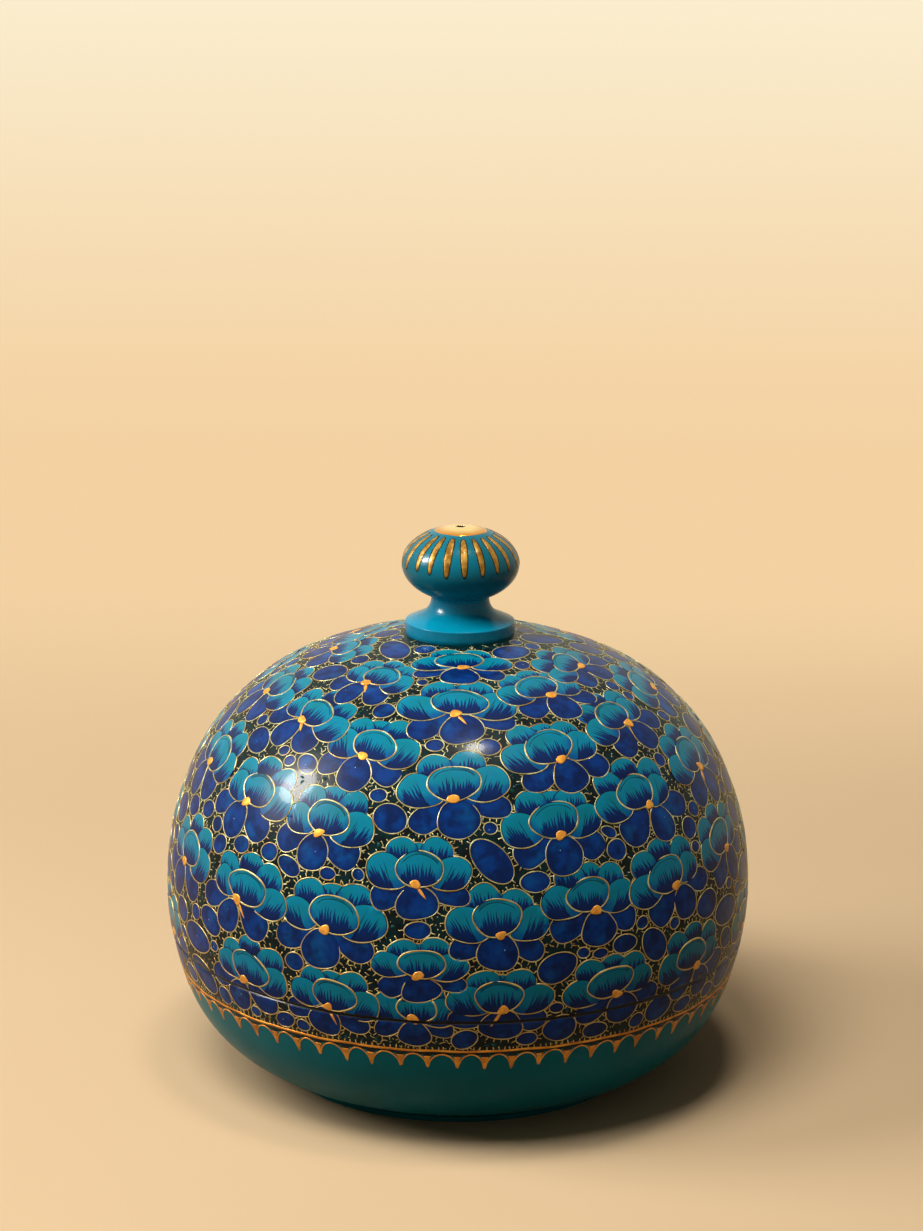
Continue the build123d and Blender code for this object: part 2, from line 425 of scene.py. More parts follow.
# Pale dots on some petals and buds: painted glints
PAINTED_GLINT_PALE = (0.350, 0.450, 0.600, 1)
KNOB_VARNISH = {"coat": 0.32, "coat_blur": 0.05, "coat_ior": 1.3}
BULB_VARNISH = {"coat": 0.34, "coat_blur": 0.11, "coat_ior": 1.27, "waves": 0.1}
RIM_VARNISH = {"coat_blur": 0.12, "coat_ior": 1.5}


class Paint:
    """One varnished paint: a colour under a clear coat, on a hand-made surface's slow waves. Noise and
    heights are in metres, as materials see the object."""

    def __init__(self, name, roughness, metallic=0.0, coat=0.3, coat_blur=0.085, coat_ior=1.22, waves=0.25):
        self.material = bpy.data.materials.new(name)
        self.tree = nodes_of(self.material)
        self.where = node(self.tree, "TexCoord").outputs["Object"]
        self.shader = node(
            self.tree,
            "BsdfPrincipled",
            {
                "Metallic": metallic,
                "Specular IOR Level": 0.05,
                "Coat Weight": coat,
                "Coat Roughness": coat_blur,
                "Coat IOR": coat_ior,
            },
        )
        rubbed = {0: self.noise(90.0, 4.0), 1: 0.3, 2: 0.7, 3: roughness - 0.07, 4: roughness + 0.09}
        self.tree.links.new(node(self.tree, "MapRange", rubbed).outputs[0], self.shader.inputs["Roughness"])
        slow = self.noise(75.0, 2.0)
        bump = node(self.tree, "Bump", {"Height": slow, "Strength": waves, "Distance": 0.0004})
        self.tree.links.new(bump.outputs[0], self.shader.inputs["Normal"])
        self.tree.links.new(bump.outputs[0], self.shader.inputs["Coat Normal"])
        node(self.tree, "OutputMaterial", {0: self.shader.outputs[0]})

    def noise(self, scale, detail=2.0):
        """Noise over the object's own coordinates, with scale features to the metre."""
        settings = {"Vector": self.where, "Scale": scale, "Detail": detail}
        return node(self.tree, "TexNoise", settings).outputs[0]

    def math(self, operation, first, second=0.5, third=0.5):
        """The result of one Math node."""
        return maths(self.tree, operation, first, second, third)

    def ramp(self, value, low, high):
        """A smooth step from 0 at low to 1 at high."""
        return smooth_step(self.tree, value, low, high)

    def fade(self, value, low, high):
        """A smooth step from 1 at low to 0 at high."""
        return self.math("SUBTRACT", 1.0, self.ramp(value, low, high))

    def times(self, first, second):
        """The product of two values."""
        return self.math("MULTIPLY", first, second)

    def mix(self, share, first, second):
        """A mix of two colours, with this share of the second."""
        return blend(self.tree, share, first, second)

    def attribute(self, name):
        """A value that the mesh holds for each point."""
        return node(self.tree, "Attribute", attribute_name=name).outputs["Fac"]

    def finish(self, colour):
        """Puts a colour under the varnish and returns the material."""
        self.tree.links.new(colour, self.shader.inputs["Base Color"])
        return self.material


def mottled(name, first, second, scale, roughness, metallic=0.0, **varnish):
    """A paint of two tones, mixed by brush-sized noise."""
    paint = Paint(name, roughness, metallic, **varnish)
    return paint.finish(paint.mix(paint.ramp(paint.noise(scale, 5.0), 0.35, 0.65), first, second))


def comb_strokes(paint, across, share):
    """1 on the tuft of comb-like strokes in the middle of a petal: one stroke to a cell of a line of cells,
    pointed over its cell's middle and of its own length, on a foot of even paint. share is how far up the
    petal a place is."""
    swaying = paint.math("MULTIPLY_ADD", paint.noise(700.0), 0.9, across)
    line_of_cells = {"W": swaying, "Scale": 1.0, "Randomness": 0.7}
    cells = node(paint.tree, "TexVoronoi", line_of_cells, voronoi_dimensions="1D").outputs
    chance = node(paint.tree, "SeparateColor", {0: cells["Color"]}).outputs[0]
    tuft = paint.fade(paint.math("ABSOLUTE", paint.attribute("aside")), 0.42, 0.92)
    point = paint.math("MULTIPLY_ADD", cells["Distance"], -1.9, 1.0)
    length = paint.math("MULTIPLY_ADD", chance, 0.24, 0.20)
    reach = paint.math("MULTIPLY_ADD", point, length, 0.32)
    reach = paint.math("MULTIPLY_ADD", reach, tuft, -0.02)
    stroke = paint.ramp(paint.math("SUBTRACT", reach, share), -0.015, 0.03)
    return paint.times(stroke, paint.ramp(tuft, 0.0, 0.25))


def teal_wash(paint, share, rim):
    """Teal that turns greener in soft patches, paler towards the petal's rim, and blue at its foot."""
    teal = paint.mix(paint.ramp(paint.noise(260.0, 3.0), 0.35, 0.68), TEAL, TEAL_GREEN)
    teal = paint.mix(paint.times(paint.ramp(rim, 0.55, 1.0), 0.35), teal, TEAL_PALE)
    ragged = paint.math("MULTIPLY_ADD", paint.noise(420.0, 4.0), 0.5, share)
    return paint.mix(paint.times(paint.fade(ragged, 0.28, 0.72), 0.85), teal, WASH_BLUE)


def dark_lines(paint, share, rim):
    """1 on the dark lines of a petal: its edge, the fold beside a side petal's tuft, and the lip of the
    front petal, a line inside its upper rim with some shade outside it."""
    edge = paint.ramp(rim, 0.93, 0.965)
    fold = paint.math("COMPARE", paint.attribute("fold"), 0.62, 0.035)
    fold = paint.times(fold, paint.fade(share, 0.55, 0.85))
    edge = paint.math("MAXIMUM", edge, paint.times(fold, 0.85))
    upper = paint.times(paint.attribute("front"), paint.ramp(share, 0.42, 0.62))
    lip = paint.math("COMPARE", rim, 0.80, 0.017)
    shade = paint.times(paint.ramp(rim, 0.79, 0.82), paint.ramp(paint.noise(160.0), 0.42, 0.6))
    lip = paint.times(paint.math("MULTIPLY_ADD", shade, 0.6, lip), upper)
    return paint.math("MAXIMUM", edge, paint.math("MINIMUM", lip, 1.0))


def petal_teal():
    """Teal petals: navy brush strokes that turn bluer up the petal stand on a teal wash, with dark lines
    over both. The mesh's Brush map gives how far across the strokes and how far up the petal a place is."""
    paint = Paint("petal_teal", 0.38)
    brush = node(paint.tree, "UVMap", uv_map="Brush").outputs[0]
    across, share, _ = node(paint.tree, "SeparateXYZ", {0: brush}).outputs
    rim = paint.attribute("rim")
    blue = paint.mix(paint.ramp(share, -0.15, 0.45), BRUSH_NAVY, BRUSH_BLUE)
    painted = paint.mix(comb_strokes(paint, across, share), teal_wash(paint, share, rim), blue)
    return paint.finish(paint.mix(dark_lines(paint, share, rim), painted, LINE_NAVY))


def petal_cobalt():
    """Cobalt petals and buds: deep blue, washed lighter in brush-wide patches, with a dark spot or two and
    a darker rim."""
    paint = Paint("petal_cobalt", 0.36)
    blue = paint.mix(paint.ramp(paint.noise(330.0, 4.0), 0.36, 0.62), COBALT_DEEP, COBALT)
    wash = paint.times(paint.ramp(paint.noise(210.0, 2.0), 0.52, 0.72), 0.5)
    blue = paint.mix(wash, blue, COBALT_LIGHT)
    spots = paint.times(paint.ramp(paint.noise(450.0, 1.0), 0.60, 0.72), 0.5)
    blue = paint.mix(spots, blue, BRUSH_NAVY)
    rim = paint.ramp(paint.attribute("rim"), 0.6, 1.0)
    return paint.finish(paint.mix(paint.times(rim, 0.7), blue, COBALT_DEEP))


def gold_line():
    """Gold of the drawn lines, of two tones, pale over the dome and more amber towards the foot as a painted
    warm shade of the lower body, and browner where the gold is thin."""
    paint = Paint("gold_line", 0.40, 0.3)
    gold = paint.mix(paint.ramp(paint.noise(520.0, 5.0), 0.32, 0.60), GOLD, GOLD_DARK)
    height = node(paint.tree, "SeparateXYZ", {0: paint.where}).outputs[2]
    # More amber lower down: a painted warm shade
    gold = paint.mix(paint.times(paint.fade(height, 0.026, 0.066), 0.80), gold, GOLD_AMBER_PAINTED_SHADE)
    rust = paint.times(paint.ramp(paint.noise(190.0, 4.0), 0.50, 0.66), 0.75)
    return paint.finish(paint.mix(rust, gold, GOLD_RUST))


def cap_gold():
    """Gold of the knob's cap, pale round the hole as a painted highlight and amber at its edge."""
    paint = Paint("cap_gold", 0.24, 0.7, coat_blur=0.08)
    flattening = {0: paint.where, 1: (1.0, 1.0, 0.0)}
    flat = node(paint.tree, "VectorMath", flattening, operation="MULTIPLY").outputs[0]
    radius = node(paint.tree, "VectorMath", {0: flat}, operation="LENGTH").outputs["Value"]
    ragged = paint.math("MULTIPLY_ADD", paint.noise(300.0, 3.0), 0.0012, radius)
    return paint.finish(paint.mix(paint.ramp(ragged, 0.0030, 0.0058), CAP_GOLD_PAINTED_HIGHLIGHT, CAP_AMBER))


paints = {
    "ground": mottled("ground_coat", GROUND, GROUND_GREEN, 420.0, 0.34),
    "teal": petal_teal(),
    "cobalt": petal_cobalt(),
    "gold": gold_line(),
    "orange": mottled("orange_gold", ORANGE_GOLD, ORANGE_DARK, 900.0, 0.40, 0.25),
    "border": mottled("border_gold", BORDER_GOLD, BORDER_BROWN, 420.0, 0.38, 0.35),
    "stroke": mottled("stroke_gold", STROKE_GOLD, GOLD_BROWN, 620.0, 0.46, 0.30),
    "cap": cap_gold(),
    "olive": mottled("olive_edge", OLIVE, GROUND, 700.0, 0.40),
    "painted_glint": mottled("pale_painted_glint", PAINTED_GLINT_PALE, COBALT_LIGHT, 900.0, 0.40),
    "leaf": mottled("leaf_green", LEAF, GROUND_GREEN, 800.0, 0.38),
    # The bowl's plain teal carries painted shade
    "base": mottled("base_teal_painted_shade", BASE_TEAL_PAINTED_SHADE, BASE_TEAL_DEEP_PAINTED_SHADE, 60.0, 0.34, coat=0.06, coat_blur=0.10),
    "knob": mottled("knob_teal", KNOB_TEAL, KNOB_TEAL_DEEP, 110.0, 0.28, **KNOB_VARNISH),
    # The cone's and the bulb's teals are lit and shaded copies of the knob's: painted light and painted
    # shade
    "cone": mottled("cone_teal_painted_light", CONE_PAINTED_LIGHT_TEAL, CONE_PAINTED_LIGHT_TEAL_DEEP, 110.0, 0.28, **KNOB_VARNISH),
    "bulb": mottled("bulb_teal_painted_shade", BULB_PAINTED_SHADE_TEAL, BULB_PAINTED_SHADE_TEAL_DEEP, 110.0, 0.28, **BULB_VARNISH),
    "black": mottled("black_lacquer", LACQUER_BLACK, LACQUER_WORN, 150.0, 0.30),
    "rim": mottled("rim_lacquer_painted_highlight", RIM_GREY_PAINTED_HIGHLIGHT, LACQUER_BLACK, 150.0, 0.25, **RIM_VARNISH),
}

# ---------------------------------------------------------------------------------------------
# Shells and knob, turned smooth
# ---------------------------------------------------------------------------------------------
SHELL_SEGMENTS = 384
KNOB_SEGMENTS = 192
SHELL_STEP = 0.75  # between the rings of the shells' meshes, wider where nothing shows
BASE_STEP = 0.9
BOWL_INSIDE_STEP = 1.5
LID_INSIDE_STEP = 2.0
RIM_STEP = 0.08
SEAM_BLACK = 0.8  # width of the black band above the seam
SEAM_BLACK_STEP = 0.3
BORDER_Z = 23.2
BORDER_AT = distance_at_height(BORDER_Z)
BASE_COAT_DROP = 0.88  # from the middle of the border's line down to the plain teal
TENON_RADIUS = 4.0
TENON_GLUE_GAP = 0.05
KNOB_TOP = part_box("knob")[1].z / MM
BULB_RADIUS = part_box("knob")[1].x / MM
BULB_HALF_HEIGHT = 7.7
BULB_Z = KNOB_TOP - BULB_HALF_HEIGHT
KNOB_SKIN = 0.12  # the knob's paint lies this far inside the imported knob
NECK_RADIUS = 6.0
NECK_FILLET = 3.5
FLANGE_RADIUS = 11.2
FLANGE_EDGE = 2.5
FLANGE_ROUND = 0.35
FLANGE_CONE_RISE = 2.3
FLANGE_FOOT_ROUND = 0.06
FLANGE_SIDE_DROP = 0.12  # from the middle of its rounding down to the first row of its side
SEAT_GAP = 0.1  # the hollow of the flange lies this far inside the lid's ground coat
HOLE_RADIUS = 0.85
HOLE_DEPTH = 3.0
HOLE_LIP = 0.1  # from the hole's wall to where the bulb starts
HOLE_LIP_DROP = 0.12
BULB_ROWS = 70
NECK_STEP = 0.3
EDGE_STEP = 0.05


def outline_stretch(inset, first, last, step):
    """Points on the outline, set in by inset, from one distance from the pole to another."""
    distance = np.linspace(first, last, int(abs(last - first) / step) + 2)
    across, height, angle = outline_at(distance)
    return np.stack([across - inset * np.cos(angle), height - inset * np.sin(angle)], -1)


def turned(name, stretches, segments, body, node_name):
    """Turns a piece from stretches of profile, each (points, paint of the faces down to its last point)."""
    profile = np.concatenate([points for points, _ in stretches])
    coats = list(dict.fromkeys(coat for _, coat in stretches))
    rows = np.concatenate([np.full(len(points), coats.index(coat)) for points, coat in stretches])
    points, faces = lathe(profile, segments)
    piece = new_piece(name, points, faces, paints[coats[0]], body)
    for coat in coats[1:]:
        piece.data.materials.append(paints[coat])
    strips = rows[1:] if profile[0, 0] < 1e-9 else np.roll(rows, -1)
    piece.data.polygons.foreach_set("material_index", np.repeat(strips, segments).astype(np.int32))
    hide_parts(node_name)


def rim_edge(side, first, last):
    """The round outer edge of a rim, above the seam for side +1 or below it for -1, between two angles in
    degrees: the rim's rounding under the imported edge, set in by half the depth that the paint takes."""
    across, _, angle = outline_at(SEAM_AT - side * RIM_ROUND)
    reach = RIM_ROUND - PAINT_DEPTH / 2
    centre = (across - (PAINT_DEPTH + reach) * cos(angle), SEAM_Z + side * reach)
    return arc_points(centre, reach, first, last, RIM_STEP)


def make_lid():
    """The lid from its hole down the outside, round the rim's edge, and back up the inside."""
    hole_at = TENON_RADIUS + TENON_GLUE_GAP
    black_at = SEAM_AT - SEAM_BLACK
    turned(
        "lid_shell_skin",
        [
            (outline_stretch(PAINT_DEPTH, hole_at, black_at, SHELL_STEP), "ground"),
            (outline_stretch(PAINT_DEPTH, black_at, SEAM_AT - RIM_ROUND, SEAM_BLACK_STEP)[1:], "black"),
            (rim_edge(1, -12, -90)[1:], "black"),
            (outline_stretch(WALL, SEAM_AT, hole_at, LID_INSIDE_STEP), "black"),
        ],
        SHELL_SEGMENTS,
        "lid",
        "lid_shell",
    )


def make_bowl():
    """The bowl from its floor up the inside to the mouth, over the rim, down the outside and under."""
    floor_z = FOOT_HEIGHT + WALL
    floor_at = distance_at_height(floor_z, WALL)
    foot_at = distance_at_height(FOOT_HEIGHT, PAINT_DEPTH)
    coat_at = BORDER_AT + BASE_COAT_DROP
    turned(
        "base_bowl_skin",
        [
            (np.array([[0, floor_z]]), "black"),
            (outline_stretch(WALL, floor_at, SEAM_AT, BOWL_INSIDE_STEP), "black"),
            # The bowl's rim edge: black lacquer with grey mixed in as a painted highlight, under a glossier
            # varnish
            (rim_edge(-1, 90, 12), "rim"),
            (outline_stretch(PAINT_DEPTH, SEAM_AT + RIM_ROUND, coat_at, SHELL_STEP), "ground"),
            (outline_stretch(PAINT_DEPTH, coat_at, foot_at, BASE_STEP)[1:], "base"),
            (np.array([[0, FOOT_HEIGHT]]), "base"),
        ],
        SHELL_SEGMENTS,
        "base",
        "base_bowl",
    )


def bulb_at(angle, lift=0.0):
    """Radius and height of the knob's bulb, an ellipse, at an angle above its widest line, moved out along
    its normal by lift."""
    normal = np.stack([np.cos(angle) / BULB_RADIUS, np.sin(angle) / BULB_HALF_HEIGHT], -1)
    normal /= np.linalg.norm(normal, axis=-1, keepdims=True)
    across = BULB_RADIUS * np.cos(angle) + (lift - KNOB_SKIN) * normal[..., 0]
    return across, BULB_Z + BULB_HALF_HEIGHT * np.sin(angle) + (lift - KNOB_SKIN) * normal[..., 1]


def make_knob():
    """The knob from the bottom of its lathe hole over the bulb, down the neck and flange, and along the
    crown to its tenon. The fillet and the flange's rounding are arcs tangent to the cone between them."""
    hole_angle = np.arccos((HOLE_RADIUS + HOLE_LIP) / BULB_RADIUS)
    neck_angle = -np.arccos(NECK_RADIUS / BULB_RADIUS)
    bulb = np.stack(bulb_at(np.linspace(hole_angle, neck_angle, BULB_ROWS)), -1)
    hole_foot = KNOB_TOP - HOLE_DEPTH
    hole_mouth = KNOB_TOP - KNOB_SKIN - HOLE_LIP_DROP

    flange_top = crown[1] + np.sqrt(crown[2] ** 2 - FLANGE_RADIUS**2) + FLANGE_EDGE
    slope = atan2(FLANGE_CONE_RISE, FLANGE_RADIUS - NECK_RADIUS)
    neck_foot = flange_top + FLANGE_CONE_RISE
    fillet_z = neck_foot - NECK_FILLET * np.tan(slope) + NECK_FILLET / cos(slope)
    fillet_centre = (NECK_RADIUS + NECK_FILLET, fillet_z)
    fillet = arc_points(fillet_centre, NECK_FILLET + KNOB_SKIN, 180, 270 - np.degrees(slope), NECK_STEP)
    edge_z = flange_top + FLANGE_ROUND * np.tan(slope) - FLANGE_ROUND / cos(slope)
    edge_centre = (FLANGE_RADIUS - FLANGE_ROUND, edge_z)
    edge = arc_points(edge_centre, FLANGE_ROUND - KNOB_SKIN, 90 - np.degrees(slope), 0, EDGE_STEP)

    side = FLANGE_RADIUS - KNOB_SKIN
    seat = crown[2] - PAINT_DEPTH - SEAT_GAP
    side_foot = crown[1] + np.sqrt(seat**2 - side**2) + FLANGE_FOOT_ROUND
    side_rows = np.linspace(edge_z - FLANGE_SIDE_DROP, side_foot, 4)
    seat_reach = np.linspace(side - FLANGE_FOOT_ROUND, TENON_RADIUS, 8)
    tenon_end = crown[1] + crown[2] - WALL
    turned(
        "knob_skin",
        [
            (np.array([[0, hole_foot], [HOLE_RADIUS, hole_foot]]), "black"),
            (np.array([[HOLE_RADIUS, hole_mouth], bulb[0]]), "black"),
            # The bulb takes the knob's teal painted darker, a painted shade; the neck and flange top take it
            # painted lighter, a painted light
            (bulb[1:], "bulb"),
            (fillet, "cone"),
            (edge, "cone"),
            (np.stack([side + 0 * side_rows, side_rows], -1), "knob"),
            (np.stack([seat_reach, crown[1] + np.sqrt(seat**2 - seat_reach**2)], -1), "knob"),
            (np.array([[TENON_RADIUS, tenon_end], [0, tenon_end]]), "knob"),
        ],
        KNOB_SEGMENTS,
        "lid",
        "knob",
    )


def coat_node(name, coat):
    """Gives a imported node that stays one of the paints."""
    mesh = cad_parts[name].data
    mesh.materials.clear()
    mesh.materials.append(paints[coat])


make_lid()
make_bowl()
make_knob()
coat_node("locating_collar", "black")
coat_node("tenon_patch", "black")
coat_node("foot_ring", "base")

# ---------------------------------------------------------------------------------------------
# Brush and liner: low forms laid on the body
# ---------------------------------------------------------------------------------------------
BURIED = -0.08  # where forms end under the ground coat
SEAM_EDGES = (("lid", 1, 0.46), ("base", -1, 0.28))  # body, side, and how far its paint keeps off the seam
PAINT_FROM = 0.02  # a form belongs to a body if it reaches this far past the edge of the body's paint


class Spots:
    """Places on the body, each with its own right and up direction along the surface, turned by a tilt."""

    def __init__(self, distance, azimuth, tilt=0.0):
        across, height, angle = outline_at(distance)
        turn, lean = np.radians(azimuth), np.radians(tilt) + 0 * angle
        out_x, out_y = np.sin(turn), -np.cos(turn)
        self.origin = np.stack([across * out_x, across * out_y, height], -1)
        right = np.stack([-out_y, out_x, 0 * turn], -1)
        up = np.stack([-np.sin(angle) * out_x, -np.sin(angle) * out_y, np.cos(angle)], -1)
        self.right = right * np.cos(lean)[:, None] - up * np.sin(lean)[:, None]
        self.up = up * np.cos(lean)[:, None] + right * np.sin(lean)[:, None]

    def take(self, which):
        """Some of the places, in the order asked for, with repeats."""
        some = object.__new__(Spots)
        some.origin, some.right, some.up = self.origin[which], self.right[which], self.up[which]
        return some

    def surface(self, flat, lift):
        """Flat points (count, corners, 2) laid on the body at lifts (count, corners): so far right and so
        far up from the place, then pressed onto the body."""
        across, along = flat[..., :1] * self.right[:, None], flat[..., 1:] * self.up[:, None]
        return press(self.origin[:, None] + across + along, lift)

    def seen_square(self, offsets):
        """The right and up parts of offsets (count, n, 3)."""
        return np.stack([(offsets * way[:, None]).sum(-1) for way in (self.right, self.up)], -1)

    def flat_at(self, points):
        """Flat points that surface would lay at these points (count, n, 3) of the body: the points seen
        square on, then moved twice by what is still missing."""
        flat = self.seen_square(points - self.origin[:, None])
        for _ in range(2):
            flat = flat + self.seen_square(points - self.surface(flat, np.zeros(flat.shape[:2])))
        return flat


def patch_faces(rings, points):
    """Faces of one patch: a fan round its centre, quads between its rings and down its skirt, and a fan
    below. Its points are the centre, the rings outwards, the skirt's foot and the centre below."""
    turn = np.arange(points)
    after = (turn + 1) % points
    starts = 1 + points * np.arange(rings + 1)
    foot = starts[-1]
    above = np.stack([0 * turn, 1 + turn, 1 + after], -1)
    below = np.stack([0 * turn + foot + points, foot + after, foot + turn], -1)
    quads = [
        np.stack([inner + turn, outer + turn, outer + after, inner + after], -1)
        for inner, outer in zip(starts[:-1], starts[1:])
    ]
    return [np.concatenate([above, below]), np.concatenate(quads)]


def patches(outlines, centres, rings, lift, dome=0.0):
    """Flat points and lifts of closed low forms: ring k is the outline shrunk about its centre to rings[k],
    lifted by lift and by a dome that falls with the square of the ring; the skirt goes under the ground.
    The rings are given for all forms, or for each form and point as (count, rings, points)."""
    count, points, _ = outlines.shape
    rings = np.asarray(rings, float)
    if rings.ndim == 1:
        rings = np.broadcast_to(rings[:, None], (count, len(rings), points))
    spread = centres[:, None, None] + rings[..., None] * (outlines - centres[:, None])[:, None]
    flat = np.concatenate([centres[:, None], spread.reshape(count, -1, 2), outlines, centres[:, None]], 1)
    domed = lift[:, None] + dome * (1 - rings.reshape(count, -1) ** 2)
    lifts = np.concatenate([lift[:, None] + dome, domed, np.full((count, points + 1), BURIED)], 1)
    return flat, lifts


def ribbon_faces(points, closed):
    """Faces of one ribbon with four points across it, the ends joined or capped."""
    corner = np.arange(points * 4).reshape(points, 4)
    here, there = (corner, np.roll(corner, -1, 0)) if closed else (corner[:-1], corner[1:])
    quads = np.stack([here, there, np.roll(there, -1, 1), np.roll(here, -1, 1)], -1).reshape(-1, 4)
    if not closed:
        quads = np.concatenate([quads, corner[:1], corner[-1:, ::-1]])
    return [quads]


def ribbons(paths, width, lift, floor, closed=True):
    """Flat points and lifts of ribbons that follow paths: each has a bevelled top and goes under the ground
    on its right side and to floor on its left."""
    if closed:
        along = np.roll(paths, -1, 1) - np.roll(paths, 1, 1)
    else:
        along = np.gradient(paths, axis=1)
    along /= np.linalg.norm(along, axis=-1, keepdims=True)
    aside = np.stack([along[..., 1], -along[..., 0]], -1)
    section = np.array([0.5, 0.28, -0.28, -0.5])
    flat = paths[:, :, None] + (section * width[..., None])[..., None] * aside[:, :, None]
    lifts = np.stack([np.full_like(lift, BURIED), lift, lift, floor], -1)
    return flat.reshape(len(paths), -1, 2), lifts.reshape(len(paths), -1)


def cut_mesh(mesh, crossing, edge, side):
    """Cuts off what lies beyond the height edge, below it for side +1 or above it for -1, and closes the
    cut, for the faces marked as crossing."""
    work = bmesh.new()
    work.from_mesh(mesh)
    work.faces.ensure_lookup_table()
    faces = [work.faces[i] for i in np.flatnonzero(crossing)]
    parts = faces + list({e for f in faces for e in f.edges}) + list({v for f in faces for v in f.verts})
    made = bmesh.ops.bisect_plane(
        work, geom=parts, dist=1e-8, plane_co=(0, 0, edge * MM), plane_no=(0, 0, -side), clear_outer=True
    )
    edges = [e for e in made["geom_cut"] if isinstance(e, bmesh.types.BMEdge)]
    bmesh.ops.holes_fill(work, edges=edges, sides=0)
    work.to_mesh(mesh)
    work.free()


def many_faces(pattern, count, corners):
    """The faces of one form repeated for count forms, each with so many corners of its own."""
    start = np.arange(count)[:, None, None] * corners
    return [(start + faces).reshape(-1, faces.shape[1]) for faces in pattern]


def lay(name, coat, points, pattern, crease=None, uv=None, values=None):
    """Makes one piece of like forms on the lid and one on the bowl, from (count, corners, 3) points and the
    faces of one form; a form that crosses the seam is cut there."""
    for body, side, gap in SEAM_EDGES:
        edge = SEAM_Z + side * gap
        rise = side * (points[..., 2] - edge)
        mine = rise.max(1) > PAINT_FROM
        if not mine.any():
            continue
        piece = new_piece(
            f"{body}_{name}",
            points[mine].reshape(-1, 3),
            many_faces(pattern, mine.sum(), points.shape[1]),
            paints[coat],
            body,
            None if crease is None else np.broadcast_to(crease, points.shape[:2])[mine].ravel(),
            None if uv is None else uv[mine].reshape(-1, 2),
            {key: value[mine].ravel() for key, value in (values or {}).items()},
        )
        crossing = rise[mine].min(1) < 0
        if crossing.any():
            marked = np.concatenate([np.repeat(crossing, len(faces)) for faces in pattern])
            cut_mesh(piece.data, marked, edge, side)


# ---------------------------------------------------------------------------------------------
# Flowers
# ---------------------------------------------------------------------------------------------
# Front of the body, listed one by one: distance from the pole, azimuth, width and height
FRONT_FLOWERS = [
    (21, 2, 20, 15), (26, -86, 18, 16), (27.5, 64, 19, 16), (30, -38.5, 17, 17), (33, 34, 20, 17),
    (36.5, -1, 22.5, 20), (41.5, 82, 20, 18), (42, -75, 19, 18), (43.5, -48, 20, 17), (44.5, 52, 20, 18),
    (48.5, -24, 20, 18.5), (49, 25.5, 21, 18.5), (56, -1, 22, 19), (59, 68, 20, 19), (60, -72, 20, 19),
    (61.5, 44, 22, 19), (63, -50, 21, 18.5), (64, 21, 21.5, 18.5), (65, -29, 21, 18.5), (72.5, -8, 20.5, 17),
    (76, 66.5, 20, 18), (78, 46, 21, 18), (79, 26.5, 21, 18), (80, -67, 21, 18), (81.5, -46, 22, 18),
    (82, 8, 20, 18), (83, -25, 23.5, 18.5), (90, -7, 19, 14), (96, 52, 20, 17), (96.5, 31, 21, 16),
    (97, 8.5, 21, 16), (97.5, -44, 21, 17), (98.5, -24.5, 20, 16), (99, -8, 17, 15),
]
# Back of the body: rows that go on from the front ones, as distance, first azimuth, flowers, pitch
BACK_ROWS = [
    (25, 118, 4, 42), (43, 113, 6, 28.5), (60.5, 95, 8, 24.3), (78.5, 88, 10, 20.4), (97, 74, 11, 21),
]
BACK_WIDTH = 20.5
BACK_HEIGHT = 18.0
ROW_SHIFT = 1.6  # how far a back flower stands off its row at most
ROW_SLIDE = 2.5  # degrees that it slides along its row at most
TILT = 3.0  # usual tilt of a flower, in degrees
FULL_LEAN_AT = 44.0  # azimuth at which the front flowers lean fully
# Each petal, for a flower of the template's width and height that faces straight up and for one that
# leans left: centre, direction it points in, length and width
TEMPLATE_SIZE = (22, 19)
PETALS = {
    "low_left": ((-5.9, -1.3, 190, 11.0, 4.8), (-4.6, -3.1, 216, 9.2, 6.6)),
    "low_right": ((4.6, -2.6, 330, 9.2, 5.6), (6.6, -1.0, 350, 8.6, 5.2)),
    "low_middle": ((-1.1, -3.8, 257, 7.4, 8.8), (2.0, -3.9, 296, 8.2, 6.8)),
    "top": ((0.2, 5.2, 90, 5.6, 6.4), (-2.4, 7.6, 102, 6.4, 7.0)),
    "top_left": ((-3.0, 6.8, 110, 7.3, 7.6), (-7.4, 5.8, 142, 8.0, 6.8)),
    "top_right": ((3.1, 6.4, 70, 6.8, 7.4), (3.4, 5.4, 58, 7.8, 6.6)),
    "side_left": ((-6.3, 2.5, 158, 10.2, 7.8), (-8.0, 1.4, 176, 9.4, 7.0)),
    "side_right": ((6.4, 1.9, 18, 9.6, 7.4), (4.2, 2.6, 34, 7.6, 5.8)),
    "front": ((-0.5, 3.2, 93, 7.4, 10.4), (-2.2, 3.1, 100, 7.2, 10.2)),
}
PETAL_LEVELS = {"low_left": 0, "low_right": 1, "low_middle": 2, "top": 0, "top_left": 1, "top_right": 2}
PETAL_LEVELS.update(side_left=4, side_right=3, front=5)
PETAL_TAPER = {"low_left": 0.3, "low_right": 0.3, "low_middle": 0.18, "side_left": 0.2, "side_right": 0.2}
# How far up a petal its strokes start, where another petal covers its foot
STROKE_START = {"top": 0.40, "top_left": 0.26, "top_right": 0.26, "side_left": 0.05, "side_right": 0.05}
